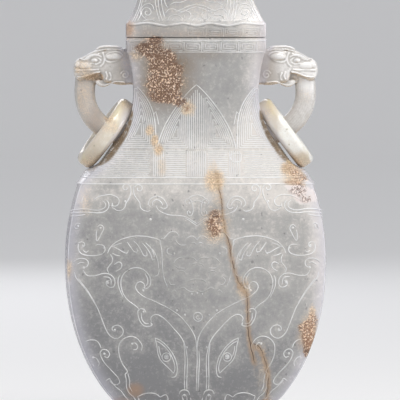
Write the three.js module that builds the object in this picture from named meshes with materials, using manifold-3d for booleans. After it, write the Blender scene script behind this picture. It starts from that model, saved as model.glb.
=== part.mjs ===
// Carved stone vase with a cover, two beast-head handles and two loose rings.
// Millimetres, +Z up, the front faces -Y, the origin is the middle of the foot's underside.

import * as THREE from 'three';
import { mergeVertices } from 'three/addons/utils/BufferGeometryUtils.js';
import Module from 'manifold-3d';

const wasm = await Module();
wasm.setup();

// Clearances
const SEAT_GAP = 0.3;
const FLANGE_GAP = 0.6;

// Heights, one above the other
const FOOT_HEIGHT = 13.4;
const BODY_HEIGHT = 132.2;
const SHOULDER_HEIGHT = 50.4;
const NECK_HEIGHT = 21.6;
const MOUTH_BAND = 8.4;

// Widths and depths over all at each place
const FOOT_WIDTH = 69.0;
const FOOT_DEPTH = 43.0;
const BODY_WIDTH = 146.2;
const BODY_DEPTH = 60.0;
const NECK_WIDTH = 69.6;
const NECK_DEPTH = 37.4;
const MOUTH_WIDTH = 77.4;
const MOUTH_DEPTH = 42.4;

// How far the broad faces and the narrow sides bow out past the corners
const FACE_BOW = 5.0;
const NECK_BOW = 1.6;
const SIDE_BOW = 1.7;
const SIDE_LEDGE = 3.5;
const SIDE_HOLLOW = 2.1;
const PANEL_RISE = 0.8;
const CORNER_ROUND = 1.6;

// Walls and hollows
const WALL_SIDE = 8.0;
const WALL_FACE = 6.0;
const FLOOR = 9.0;
const FOOT_RIM = 5.5;
const FOOT_RECESS = 4.0;

// Cover
const RIM_HEIGHT = 7.9;
const COVER_FLARE = 21.6;
const TABLE_WIDTH = 56.6;
const TABLE_DEPTH = 26.8;
const TABLE_HEIGHT = 3.4;
const KNOB_HEIGHT = 10.2;
const KNOB_WIDTH = 32.0;
const KNOB_DEPTH = 18.4;
const FLANGE_DEPTH = 7.0;
const FLANGE_WALL = 4.5;
const COVER_HOLLOW = 14.0;

// Handles and rings
const HEAD_DEPTH = 17.0;
const HEAD_EDGE = 2.2;
const SNOUT_TAPER = 0.24;
const JAW_DEPTH = 12.0;
const CREST_DEPTH = 10.0;
const EYE_RADIUS = 2.3;
const LOOP_WIDTH = 11.6;
const LOOP_DEPTH = 9.4;
const RING_DIAMETER = 44.1;
const RING_THICK = 7.0;
const RING_WIDTH = 9.8;
const RING_ROUND = 3.0;
const RING_TILT = THREE.MathUtils.degToRad(36.5);
const RING_OUT = 15.3;
const RING_UP = 27.4;

// Places that several pieces share
const panelTop = FOOT_HEIGHT + BODY_HEIGHT;
const neckZ = panelTop + SHOULDER_HEIGHT;
const bandZ = neckZ + NECK_HEIGHT;
const mouthTop = bandZ + MOUTH_BAND;
const neckHalf = NECK_WIDTH / 2;
const mouthFloor = mouthTop - FLANGE_DEPTH - 1.5;

const lerp = THREE.MathUtils.lerp;
const smooth = THREE.MathUtils.smoothstep;

function solid(geometry) {
    const bare = geometry.clone();
    bare.deleteAttribute('normal');
    bare.deleteAttribute('uv');
    const merged = mergeVertices(bare, 1e-4);
    return new wasm.Manifold(new wasm.Mesh({
        numProp: 3,
        vertProperties: Float32Array.from(merged.attributes.position.array),
        triVerts: Uint32Array.from(merged.index.array),
    }));
}

function geometryOf(shape) {
    const mesh = shape.getMesh();
    const geometry = new THREE.BufferGeometry();
    geometry.setAttribute('position', new THREE.BufferAttribute(mesh.vertProperties, 3));
    geometry.setIndex(new THREE.BufferAttribute(mesh.triVerts, 1));
    geometry.computeVertexNormals();
    return geometry;
}

// A smooth line through [place, value] stations that never overshoots them
function through(stations) {
    const slopes = stations.map((station, i) => {
        const before = stations[i - 1];
        const after = stations[i + 1];
        if (!before || !after) {
            return 0;
        }
        const rise = (station[1] - before[1]) / (station[0] - before[0]);
        const next = (after[1] - station[1]) / (after[0] - station[0]);
        return rise * next <= 0 ? 0 : (2 * rise * next) / (rise + next);
    });
    return (place) => {
        const last = stations.length - 1;
        let i = 0;
        while (i < last - 1 && place > stations[i + 1][0]) {
            i += 1;
        }
        const span = stations[i + 1][0] - stations[i][0];
        const t = THREE.MathUtils.clamp((place - stations[i][0]) / span, 0, 1);
        const fromStart = (1 + 2 * t) * (1 - t) ** 2 * stations[i][1];
        const toEnd = t * t * (3 - 2 * t) * stations[i + 1][1];
        const startTurn = t * (1 - t) ** 2 * span * slopes[i];
        const endTurn = t * t * (t - 1) * span * slopes[i + 1];
        return fromStart + toEnd + startTurn + endTurn;
    };
}

// Half-width at the corners: an oval body, a parabola up the shoulder, a flaring mouth
function ovalAt(z) {
    const middle = FOOT_HEIGHT + 0.6695 * BODY_HEIGHT;
    return (z - middle) / (0.7455 * BODY_HEIGHT);
}

function cornerHalfWidth(z) {
    const oval = (height) => (BODY_WIDTH / 2) * Math.sqrt(1 - ovalAt(height) ** 2) - SIDE_BOW;
    if (z < FOOT_HEIGHT) {
        const flare = (1 - z / FOOT_HEIGHT) ** 1.6;
        return lerp(oval(FOOT_HEIGHT), FOOT_WIDTH / 2, smooth(flare, 0, 0.75));
    }
    if (z < panelTop) {
        return oval(z);
    }
    if (z < neckZ) {
        const up = (z - panelTop) / SHOULDER_HEIGHT;
        return neckHalf + (oval(panelTop) - neckHalf) * (1 - up) ** 1.97;
    }
    const up = Math.min((z - neckZ) / NECK_HEIGHT, 1);
    const band = MOUTH_WIDTH / 2 - 0.7;
    const neck = lerp(neckHalf, band, up ** 2);
    return z <= bandZ ? neck : lerp(band, MOUTH_WIDTH / 2, Math.min((z - bandZ) / 3, 1));
}

// The narrow sides bow out, carry a ledge that a ring lies on, and are hollowed behind it
const sideBow = through([
    [0, 0.4],
    [FOOT_HEIGHT, 0.6],
    [FOOT_HEIGHT + 0.1 * BODY_HEIGHT, SIDE_BOW],
    [panelTop - 0.03 * BODY_HEIGHT, SIDE_BOW],
    [panelTop + 0.07 * SHOULDER_HEIGHT, 0.82 * SIDE_LEDGE],
    [panelTop + 0.13 * SHOULDER_HEIGHT, SIDE_LEDGE],
    [panelTop + 0.16 * SHOULDER_HEIGHT, 0.8 * SIDE_LEDGE],
    [panelTop + 0.21 * SHOULDER_HEIGHT, 0.1 * SIDE_LEDGE],
    [panelTop + 0.4 * SHOULDER_HEIGHT, 0.3],
    [panelTop + 0.72 * SHOULDER_HEIGHT, -SIDE_HOLLOW],
    [panelTop + 0.9 * SHOULDER_HEIGHT, -SIDE_HOLLOW],
    [neckZ + 0.25 * NECK_HEIGHT, 0],
    [mouthTop, 0.3],
]);

// Half-depth at the middle of the broad faces
function frontHalfDepth(z) {
    const oval = (height) => (BODY_DEPTH / 2) * (1 - Math.abs(ovalAt(height)) ** 2.6) ** (1 / 2.6);
    if (z < FOOT_HEIGHT) {
        const flare = (1 - z / FOOT_HEIGHT) ** 1.6;
        return lerp(oval(FOOT_HEIGHT), FOOT_DEPTH / 2, smooth(flare, 0, 0.75));
    }
    if (z < panelTop) {
        return oval(z);
    }
    if (z < neckZ) {
        const up = (z - panelTop) / SHOULDER_HEIGHT;
        const start = oval(panelTop) - PANEL_RISE;
        return NECK_DEPTH / 2 + (start - NECK_DEPTH / 2) * (1 - up) ** 1.7;
    }
    const up = Math.min((z - neckZ) / NECK_HEIGHT, 1);
    const band = MOUTH_DEPTH / 2 - 0.7;
    const neck = lerp(NECK_DEPTH / 2, band, up ** 2);
    return z <= bandZ ? neck : lerp(band, MOUTH_DEPTH / 2, Math.min((z - bandZ) / 3, 1));
}

const faceBow = through([
    [0, NECK_BOW],
    [FOOT_HEIGHT, NECK_BOW],
    [FOOT_HEIGHT + 0.35 * BODY_HEIGHT, FACE_BOW],
    [panelTop - 0.1 * BODY_HEIGHT, FACE_BOW],
    [panelTop + 0.6 * SHOULDER_HEIGHT, NECK_BOW],
    [mouthTop, NECK_BOW],
]);

function outerSize(z) {
    return {
        cornerX: cornerHalfWidth(z),
        bowX: sideBow(z),
        cornerY: frontHalfDepth(z) - faceBow(z),
        bowY: faceBow(z),
        round: CORNER_ROUND,
    };
}

function innerSize(z) {
    const outer = outerSize(Math.min(z, mouthFloor));
    return {
        cornerX: outer.cornerX - WALL_SIDE,
        bowX: 0,
        cornerY: outer.cornerY - WALL_FACE,
        bowY: outer.bowY,
        round: 4 * CORNER_ROUND,
    };
}

// One level: two bowed faces, two bowed sides and four rounded corners, counter-clockwise
function level(size, z) {
    const points = [];
    const cut = {
        x: Math.min(size.round, 0.45 * size.cornerX) / size.cornerX,
        y: Math.min(size.round, 0.45 * size.cornerY) / size.cornerY,
    };
    const sideX = (v) => size.cornerX + size.bowX * (1 - v * v);
    const faceY = (u) => size.cornerY + size.bowY * (1 - u * u);
    const add = (x, y) => points.push(new THREE.Vector3(x, y, z));
    const addCorner = (startX, startY, cornerX, cornerY, endX, endY) => {
        const t = 0.5;
        const x = (1 - t) ** 2 * startX + 2 * t * (1 - t) * cornerX + t * t * endX;
        const y = (1 - t) ** 2 * startY + 2 * t * (1 - t) * cornerY + t * t * endY;
        add(x, y);
    };
    for (const turn of [1, -1]) {
        const sideSteps = 6;
        for (let i = 0; i <= sideSteps; i += 1) {
            const v = lerp(-1 + cut.y, 1 - cut.y, i / sideSteps);
            add(turn * sideX(v), turn * v * size.cornerY);
        }
        const v = 1 - cut.y;
        const u = 1 - cut.x;
        addCorner(
            turn * sideX(v), turn * v * size.cornerY,
            turn * size.cornerX, turn * size.cornerY,
            turn * u * size.cornerX, turn * faceY(u),
        );
        const faceSteps = 10;
        for (let i = 0; i <= faceSteps; i += 1) {
            const along = lerp(1 - cut.x, -1 + cut.x, i / faceSteps);
            add(turn * along * size.cornerX, turn * faceY(along));
        }
        addCorner(
            -turn * u * size.cornerX, turn * faceY(u),
            -turn * size.cornerX, turn * size.cornerY,
            -turn * sideX(v), turn * v * size.cornerY,
        );
    }
    return points;
}

// A closed body through levels that all have the same number of points, lowest first
function loft(levels) {
    const count = levels[0].length;
    const positions = levels.flat().flatMap((point) => point.toArray());
    const index = [];
    for (let k = 0; k < levels.length - 1; k += 1) {
        for (let i = 0; i < count; i += 1) {
            const a = k * count + i;
            const b = k * count + ((i + 1) % count);
            index.push(a, b, b + count, a, b + count, a + count);
        }
    }
    for (const [k, flip] of [[0, true], [levels.length - 1, false]]) {
        const centre = positions.length / 3;
        const middle = levels[k].reduce((sum, p) => sum.add(p), new THREE.Vector3());
        positions.push(...middle.divideScalar(count).toArray());
        for (let i = 0; i < count; i += 1) {
            const a = k * count + i;
            const b = k * count + ((i + 1) % count);
            index.push(...(flip ? [centre, b, a] : [centre, a, b]));
        }
    }
    const geometry = new THREE.BufferGeometry();
    geometry.setAttribute('position', new THREE.Float32BufferAttribute(positions, 3));
    geometry.setIndex(index);
    return geometry;
}

function steps(from, to, count) {
    return Array.from({ length: count + 1 }, (_, i) => lerp(from, to, i / count));
}

// Vase: body, shoulder, neck and mouth as one loft
function outerBody() {
    const hair = 0.02;
    const heights = [
        ...steps(0, FOOT_HEIGHT - hair, 5),
        ...steps(FOOT_HEIGHT, FOOT_HEIGHT + 0.12 * BODY_HEIGHT, 5),
        ...steps(FOOT_HEIGHT + 0.18 * BODY_HEIGHT, panelTop - hair, 9),
        ...steps(panelTop, panelTop + 0.24 * SHOULDER_HEIGHT, 6),
        ...steps(panelTop + 0.32 * SHOULDER_HEIGHT, neckZ, 6),
        ...steps(neckZ + 0.25 * NECK_HEIGHT, bandZ, 3),
        bandZ + 3,
        mouthTop,
    ];
    return loft(heights.map((z) => level(outerSize(z), z)));
}

function cavity() {
    const start = FOOT_HEIGHT + FLOOR;
    const heights = [
        ...steps(start, start + 0.12 * BODY_HEIGHT, 3),
        ...steps(start + 0.22 * BODY_HEIGHT, panelTop, 5),
        ...steps(panelTop + 0.15 * SHOULDER_HEIGHT, neckZ, 5),
        mouthFloor,
        mouthTop + 1,
    ];
    const levels = heights.map((z, i) => {
        const size = innerSize(z);
        const shrink = i === 0 ? 0.8 : 1;
        return level({ ...size, cornerX: size.cornerX * shrink, cornerY: size.cornerY * shrink }, z);
    });
    return loft(levels);
}

function footRecess() {
    const levels = [-1, FOOT_RECESS].map((z) => {
        const size = outerSize(FOOT_RECESS);
        const inset = FOOT_RIM + 0.6 * Math.max(z, 0);
        return level({ ...size, cornerX: size.cornerX - inset, cornerY: size.cornerY - inset }, z);
    });
    return loft(levels);
}

// Handles: outlines in the plane of the vase's width, from the neck's side and its waist
function outline(points) {
    const shape = new THREE.Shape();
    shape.setFromPoints(points.map(([x, z]) => new THREE.Vector2(neckHalf + x, neckZ + z)));
    return shape;
}

function slab(shape, depth, edge) {
    const geometry = new THREE.ExtrudeGeometry(shape, {
        depth: depth - 2 * edge,
        bevelThickness: edge,
        bevelSize: edge,
        bevelOffset: -edge,
        bevelSegments: 2,
        curveSegments: 4,
    });
    geometry.translate(0, 0, edge - depth / 2);
    geometry.rotateX(Math.PI / 2);
    return geometry;
}

function taperSnout(geometry) {
    const position = geometry.attributes.position;
    for (let i = 0; i < position.count; i += 1) {
        const reach = smooth(position.getX(i) - neckHalf, 12, 33);
        position.setY(i, position.getY(i) * (1 - SNOUT_TAPER * reach));
    }
    return geometry;
}

// The head in profile: cheek, brow, snout and upper lip, biting on the loop
function head() {
    const skull = slab(outline([
        [-7, 4.8], [6, 4.0], [12, 4.8], [16.6, 6.4], [18.2, 9.4], [22.4, 9.2], [26.4, 7.6],
        [30.4, 6.8], [32.4, 8.6], [33.3, 12.4], [32.4, 16.6], [28.2, 19.2], [23.6, 21.8],
        [20.6, 23.4], [4, 24.4], [-7, 23.6],
    ]), HEAD_DEPTH, HEAD_EDGE);
    const jaw = slab(outline([
        [2, 7.5], [2, 4.2], [6.6, 3.8], [12, 4.6], [16.4, 2.9], [19.2, 3.6], [20.8, 6.0],
        [18.4, 8.0], [12, 9.0],
    ]), JAW_DEPTH, HEAD_EDGE / 2);
    const crest = slab(outline([
        [5.4, 22.6], [6.4, 24.6], [9.6, 25.8], [17.6, 25.8], [20.6, 24.2], [21.6, 22.4],
    ]), CREST_DEPTH, HEAD_EDGE / 3);
    const parts = [skull, jaw, crest].map((geometry) => solid(taperSnout(geometry)));
    for (const side of [-1, 1]) {
        const eye = new THREE.SphereGeometry(EYE_RADIUS, 10, 6);
        const y = side * (HEAD_DEPTH / 2 - 0.45 * EYE_RADIUS);
        eye.scale(1.2, 1, 1).translate(neckHalf + 21.6, y * (1 - 0.35 * SNOUT_TAPER), neckZ + 17.4);
        parts.push(solid(eye));
    }
    return parts.reduce((whole, part) => whole.add(part));
}

// The loop runs from the mouth down and back into the neck's root
function loop() {
    const route = [
        [26.2, 10.5], [27.0, 3.5], [27.0, -1.5], [26.1, -7.0], [23.8, -12.2], [20.1, -16.8],
        [15.5, -20.4], [11.0, -22.6], [6.2, -23.6], [0.4, -23.8],
    ];
    const path = new THREE.CatmullRomCurve3(
        route.map(([x, z]) => new THREE.Vector3(neckHalf + x, 0, neckZ + z)),
    );
    const section = new THREE.Shape();
    section.absellipse(0, 0, LOOP_DEPTH / 2, LOOP_WIDTH / 2, 0, 2 * Math.PI, false, 0);
    return new THREE.ExtrudeGeometry(section, {
        steps: 22,
        curveSegments: 14,
        extrudePath: path,
    });
}

function vase() {
    const handle = head().add(solid(loop()));
    const opposite = handle.rotate([0, 0, 180]);
    const stone = solid(outerBody()).add(handle).add(opposite);
    return geometryOf(stone.subtract(solid(cavity())).subtract(solid(footRecess())));
}

// Cover: rim, concave shoulder, table and knob, over a flange that drops into the mouth
function cover() {
    const rimZ = mouthTop + SEAT_GAP;
    const tableZ = rimZ + RIM_HEIGHT + COVER_FLARE - TABLE_HEIGHT;
    const knobZ = tableZ + TABLE_HEIGHT;
    const knobTop = knobZ + KNOB_HEIGHT;
    const halfWidth = MOUTH_WIDTH / 2;
    const halfDepth = MOUTH_DEPTH / 2;
    const flareTop = tableZ - rimZ - RIM_HEIGHT;
    const rows = [
        [rimZ, halfWidth - 0.4, halfDepth - 0.4],
        [rimZ + 0.4, halfWidth, halfDepth],
        [rimZ + RIM_HEIGHT, halfWidth, halfDepth],
    ];
    for (const up of steps(0.08, 1, 6)) {
        const draw = 1 - (1 - up) ** 1.7;
        rows.push([
            rimZ + RIM_HEIGHT + up * flareTop,
            lerp(halfWidth - 0.6, TABLE_WIDTH / 2 - 0.8, draw),
            lerp(halfDepth - 0.6, TABLE_DEPTH / 2 - 0.8, draw),
        ]);
    }
    rows.push(
        [tableZ + 0.3 * TABLE_HEIGHT, TABLE_WIDTH / 2, TABLE_DEPTH / 2],
        [tableZ + 0.8 * TABLE_HEIGHT, TABLE_WIDTH / 2, TABLE_DEPTH / 2],
        [knobZ, TABLE_WIDTH / 2 - 1.2, TABLE_DEPTH / 2 - 1.2],
        [knobZ + 0.05, 0.42 * KNOB_WIDTH, 0.42 * KNOB_DEPTH],
        [knobZ + 0.16 * KNOB_HEIGHT, 0.38 * KNOB_WIDTH, 0.38 * KNOB_DEPTH],
        [knobZ + 0.5 * KNOB_HEIGHT, 0.5 * KNOB_WIDTH, 0.5 * KNOB_DEPTH],
        [knobZ + 0.78 * KNOB_HEIGHT, 0.46 * KNOB_WIDTH, 0.46 * KNOB_DEPTH],
        [knobZ + 0.94 * KNOB_HEIGHT, 0.32 * KNOB_WIDTH, 0.32 * KNOB_DEPTH],
        [knobTop, 0.16 * KNOB_WIDTH, 0.16 * KNOB_DEPTH],
    );
    const crown = loft(rows.map(([z, x, y]) => level({
        cornerX: x,
        bowX: 0.3,
        cornerY: y - NECK_BOW * (y / halfDepth),
        bowY: NECK_BOW * (y / halfDepth),
        round: CORNER_ROUND,
    }, z)));
    const bore = innerSize(mouthTop);
    const plug = {
        ...bore,
        cornerX: bore.cornerX - FLANGE_GAP,
        cornerY: bore.cornerY - FLANGE_GAP,
    };
    const flangeEnd = mouthTop - FLANGE_DEPTH;
    const flange = loft([flangeEnd, rimZ + 1].map((z) => level(plug, z)));
    const hollowTop = flangeEnd + FLANGE_DEPTH + COVER_HOLLOW;
    const hollow = loft([[flangeEnd - 1, 1], [rimZ + RIM_HEIGHT, 0.94], [hollowTop, 0.5]].map(
        ([z, share]) => level({
            ...plug,
            cornerX: (plug.cornerX - FLANGE_WALL) * share,
            cornerY: (plug.cornerY - FLANGE_WALL) * share,
        }, z),
    ));
    return geometryOf(solid(crown).add(solid(flange)).subtract(solid(hollow)));
}

// Ring: a thick band with rounded edges
function ring() {
    const outer = RING_DIAMETER / 2;
    const half = RING_WIDTH / 2 - RING_ROUND;
    const corners = [
        [outer - RING_ROUND, half, 0],
        [outer - RING_THICK + RING_ROUND, half, 90],
        [outer - RING_THICK + RING_ROUND, -half, 180],
        [outer - RING_ROUND, -half, 270],
    ];
    const profile = [];
    for (const [radius, along, start] of corners) {
        for (const turn of steps(start, start + 90, 3)) {
            const angle = THREE.MathUtils.degToRad(turn);
            profile.push(new THREE.Vector2(
                radius + RING_ROUND * Math.cos(angle),
                along + RING_ROUND * Math.sin(angle),
            ));
        }
    }
    profile.push(profile[0].clone());
    const geometry = new THREE.LatheGeometry(profile, 40);
    geometry.rotateX(Math.PI / 2);
    return geometryOf(solid(geometry));
}

function stone(color, roughness) {
    return new THREE.MeshStandardMaterial({ color, roughness, metalness: 0 });
}

function piece(name, geometry, material) {
    const mesh = new THREE.Mesh(geometry, material);
    mesh.name = name;
    return mesh;
}

const group = new THREE.Group();
group.add(piece('vase', vase(), stone(0xd3d3cb, 0.32)));
group.add(piece('cover', cover(), stone(0xcfcdc4, 0.32)));
for (const [name, side] of [['left_ring', -1], ['right_ring', 1]]) {
    const mesh = piece(name, ring(), stone(0xd9d0bb, 0.3));
    mesh.position.set(side * (neckHalf + RING_OUT), 0, panelTop + RING_UP);
    mesh.rotation.y = side * (Math.PI / 2 - RING_TILT);
    group.add(mesh);
}

export default group;
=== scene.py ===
"""Carved jade vase with a cover, beast-head handles and loose rings, laid out as an add-on."""
import math
import random

import bpy
import numpy as np
from mathutils import Matrix, Vector
from mathutils.kdtree import KDTree


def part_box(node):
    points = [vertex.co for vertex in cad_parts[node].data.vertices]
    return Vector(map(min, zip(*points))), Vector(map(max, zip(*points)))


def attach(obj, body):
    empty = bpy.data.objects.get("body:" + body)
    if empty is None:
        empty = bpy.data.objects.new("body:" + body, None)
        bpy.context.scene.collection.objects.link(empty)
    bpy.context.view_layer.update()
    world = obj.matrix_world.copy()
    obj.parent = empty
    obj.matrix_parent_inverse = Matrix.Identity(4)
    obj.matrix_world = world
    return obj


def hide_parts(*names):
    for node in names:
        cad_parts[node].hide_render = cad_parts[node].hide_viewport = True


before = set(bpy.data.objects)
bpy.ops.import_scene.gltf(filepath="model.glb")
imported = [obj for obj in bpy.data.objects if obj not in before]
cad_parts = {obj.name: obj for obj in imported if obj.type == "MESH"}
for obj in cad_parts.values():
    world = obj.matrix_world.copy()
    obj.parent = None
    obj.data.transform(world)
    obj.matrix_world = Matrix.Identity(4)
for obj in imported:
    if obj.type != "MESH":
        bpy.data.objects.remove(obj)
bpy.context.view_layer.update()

bl_info = {
    "name": "Carved Jade Vase",
    "version": (1, 0, 0),
    "blender": (4, 5, 0),
    "location": "3D View > Sidebar > Vase",
    "description": "Builds a carved, covered jade vase with loose rings on its handles",
    "category": "Object",
}

MM = 0.001
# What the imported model's depth leaves for the raised relief
RELIEF_ROOM = 0.4 * MM

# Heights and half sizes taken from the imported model
VASE_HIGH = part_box("vase")[1]
COVER_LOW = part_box("cover")[0]
MOUTH_TOP = VASE_HIGH.z
BODY_HALF_WIDTH = VASE_HIGH.x
BODY_HALF_DEPTH = VASE_HIGH.y - RELIEF_ROOM

# Heights of the vase's parts, one above the other
FOOT_HEIGHT = 13.4 * MM
BODY_HEIGHT = 132.2 * MM
SHOULDER_HEIGHT = 50.4 * MM
MOUTH_BAND = 8.4 * MM
PANEL_TOP = FOOT_HEIGHT + BODY_HEIGHT
NECK_Z = PANEL_TOP + SHOULDER_HEIGHT
BAND_Z = MOUTH_TOP - MOUTH_BAND
NECK_HEIGHT = BAND_Z - NECK_Z

# Half widths and half depths
FOOT_HALF = (36.5 * MM, 21.5 * MM)
NECK_HALF = (34.8 * MM, 18.7 * MM)
MOUTH_HALF = (38.7 * MM, 21.2 * MM)
SIDE_BOW = 1.7 * MM
SIDE_LEDGE = 4.8 * MM
LEDGE_SHARE = 0.13
SIDE_HOLLOW = 2.1 * MM
FACE_BOW = 5.0 * MM
NECK_BOW = 1.6 * MM
PANEL_RISE = 0.8 * MM
WALL_SIDE = 8.0 * MM
WALL_FACE = 6.0 * MM
FLOOR = 9.0 * MM
FOOT_RIM = 5.5 * MM
FOOT_RECESS = 4.0 * MM
FLANGE_DEPTH = 7.0 * MM
INNER_ROUNDING = 6.4 * MM
# The smallest half size of a level that closes a pole
POINT = 1e-6

# The drawing that the relief follows: steps across from its axis and up from the foot
DRAWING_STEP = 0.56 * MM
AXIS = 196.5
DRAWING_FOOT = 442.0
DRAWING_DROP = 0.035
# The relief stands nearer to the eye than the outline, so its drawing is drawn in round EYE_LEVEL
DRAWN_IN = 0.0125
EYE_LEVEL = 235.0


def length(name, description, default, low, high):
    """A length that a user would change, given in millimetres"""
    return bpy.props.FloatProperty(
        name=name, description=description, default=default * MM, min=low * MM, max=high * MM,
        unit="LENGTH", precision=5,
    )


def colour(name, description, default):
    """A colour that a user would change"""
    return bpy.props.FloatVectorProperty(
        name=name, description=description, default=default, size=3, min=0, max=1,
        subtype="COLOR",
    )


class VaseSizes(bpy.types.PropertyGroup):
    """Sizes that a user would change"""

    thread: length("Relief thread", "Half width of the relief's raised threads", 0.35, 0.1, 1.0)
    fine_thread: length("Fine thread", "Half width of the finest raised lines", 0.26, 0.1, 1.0)
    corner: length("Corner rounding", "Rounding of the vase's four upright corners", 1.3, 0.3, 4.0)
    ring_rounding: length("Ring rounding", "Rounding of the loose rings' edges", 3.4, 0.5, 3.45)
    carving_grain: length("Carving grain", "Voxel size of the carved beast heads", 0.34, 0.2, 1.0)


class VaseColours(bpy.types.PropertyGroup):
    """Colours of the stone"""

    # The deep tone is partly painted shade: the body is painted darker towards the bottom, which
    # faces away from the light
    deep: colour("Deep stone", "Blue-grey of the thick, shaded stone low on the body",
                 (0.225, 0.225, 0.23))
    stone: colour("Stone", "Grey-green body of the jade", (0.39, 0.382, 0.37))
    # The pale tone is partly painted light on the shoulder and on the thin edges
    pale: colour("Pale stone", "Milky stone of the shoulder, cover and thin edges",
                 (0.74, 0.70, 0.655))
    # The carved edges' near-white is mostly painted highlight on the raised threads; it also tints
    # the cream specks
    thread: colour("Carved edges", "Near-white of the worn, raised threads", (0.92, 0.915, 0.905))
    russet: colour("Russet", "Brown skin left in the jade", (0.14, 0.068, 0.036))
    # The umber brown is partly a real tint round the skin and partly painted shadow behind the
    # rings and under the rings and heads
    umber_and_shadow: colour("Umber", "Brown shade round the skin and on the narrow sides behind the rings",
                  (0.22, 0.155, 0.095))
    copper: colour("Copper", "Copper brown of smooth stains and of the lighter skin",
                   (0.33, 0.165, 0.09))
    tan: colour("Tan", "Orange-tan tint round the brown skin", (0.54, 0.37, 0.22))
    gold: colour("Gold specks", "Golden cream specks in the tan clouds", (0.88, 0.68, 0.45))
    speck: colour("Specks", "Cream specks in the brown skin", (0.80, 0.575, 0.395))
    chalk: colour("Scars", "Pinkish white of the chipped and chalky places", (0.87, 0.79, 0.77))
    # The thin edges' lilac white is painted rim light
    painted_rim_light: colour("Thin edges", "Lilac white where the light comes through the edges",
                 (0.60, 0.59, 0.68))
    straw: colour("Straw", "Straw yellow at the rings' upper and lower ends", (0.74, 0.665, 0.46))
    ring: colour("Ring", "Warm cream of the loose rings", (0.70, 0.62, 0.50))


# Curves and surfaces

def lerp(a, b, t):
    return a + (b - a) * t


def smooth(value, low, high):
    t = min(max((value - low) / (high - low), 0.0), 1.0)
    return t * t * (3.0 - 2.0 * t)


def through(stations):
    """A smooth line through (place, value) stations that never overshoots them"""
    slopes = [0.0]
    for before, here, after in zip(stations, stations[1:], stations[2:]):
        rise = (here[1] - before[1]) / (here[0] - before[0])
        following = (after[1] - here[1]) / (after[0] - here[0])
        slopes.append(0.0 if rise * following <= 0 else 2 * rise * following / (rise + following))
    slopes.append(0.0)

    def value(place):
        i = 0
        while i < len(stations) - 2 and place > stations[i + 1][0]:
            i += 1
        (start, low), (end, high) = stations[i], stations[i + 1]
        span = end - start
        t = min(max((place - start) / span, 0.0), 1.0)
        return (
            (1 + 2 * t) * (1 - t) ** 2 * low
            + t * t * (3 - 2 * t) * high
            + t * (1 - t) ** 2 * span * slopes[i]
            + t * t * (t - 1) * span * slopes[i + 1]
        )

    return value


def oval_at(z):
    """How far a height is from the body's widest level, 1 at the oval's ends"""
    middle = FOOT_HEIGHT + 0.6695 * BODY_HEIGHT
    return (z - middle) / (0.7455 * BODY_HEIGHT)


def oval_width(z):
    power = 2.1 if oval_at(z) < 0 else 2
    return BODY_HALF_WIDTH * (1 - abs(oval_at(z)) ** power) ** (1 / power) - SIDE_BOW


def oval_depth(z):
    return BODY_HALF_DEPTH * (1 - abs(oval_at(z)) ** 2.6) ** (1 / 2.6)


def half_size(z, axis, oval, fall, rise=0.0):
    """Half-width (axis 0) or half-depth (axis 1) of the vase at a height"""
    if z < FOOT_HEIGHT:
        flare = (1 - max(z, 0) / FOOT_HEIGHT) ** 1.6
        return lerp(oval(FOOT_HEIGHT), FOOT_HALF[axis], smooth(flare, 0, 0.75))
    if z < PANEL_TOP:
        return oval(z)
    neck = NECK_HALF[axis]
    if z < NECK_Z:
        up = (z - PANEL_TOP) / SHOULDER_HEIGHT
        start = oval(PANEL_TOP) - rise
        return neck + (start - neck) * (1 - up) ** fall
    band = MOUTH_HALF[axis] - 0.7 * MM
    if z <= BAND_Z:
        return lerp(neck, band, ((z - NECK_Z) / NECK_HEIGHT) ** 2)
    return lerp(band, MOUTH_HALF[axis], min((z - BAND_Z) / (3 * MM), 1))


def corner_half_width(z):
    """Half-width of the vase at its upright corners"""
    return half_size(z, 0, oval_width, 1.97)


def front_half_depth(z):
    """Half-depth of the vase at the middle of its broad faces"""
    return half_size(z, 1, oval_depth, 1.7, PANEL_RISE)


side_bow = through([
    (0, 0.4 * MM),
    (FOOT_HEIGHT, 0.6 * MM),
    (FOOT_HEIGHT + 0.1 * BODY_HEIGHT, SIDE_BOW),
    (PANEL_TOP - 0.03 * BODY_HEIGHT, SIDE_BOW),
    (PANEL_TOP + 0.5 * LEDGE_SHARE * SHOULDER_HEIGHT, 0.8 * SIDE_LEDGE),
    (PANEL_TOP + LEDGE_SHARE * SHOULDER_HEIGHT, SIDE_LEDGE),
    (PANEL_TOP + 0.16 * SHOULDER_HEIGHT, 0.74 * SIDE_LEDGE),
    (PANEL_TOP + 0.21 * SHOULDER_HEIGHT, 0.26 * SIDE_LEDGE),
    (PANEL_TOP + 0.4 * SHOULDER_HEIGHT, 1.9 * MM),
    (PANEL_TOP + 0.72 * SHOULDER_HEIGHT, -SIDE_HOLLOW),
    (PANEL_TOP + 0.9 * SHOULDER_HEIGHT, -SIDE_HOLLOW),
    (NECK_Z + 0.25 * NECK_HEIGHT, 0),
    (MOUTH_TOP, 0.3 * MM),
])

face_bow = through([
    (0, NECK_BOW),
    (FOOT_HEIGHT, NECK_BOW),
    (FOOT_HEIGHT + 0.35 * BODY_HEIGHT, FACE_BOW),
    (PANEL_TOP - 0.1 * BODY_HEIGHT, FACE_BOW),
    (PANEL_TOP + 0.6 * SHOULDER_HEIGHT, NECK_BOW),
    (MOUTH_TOP, NECK_BOW),
])


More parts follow.
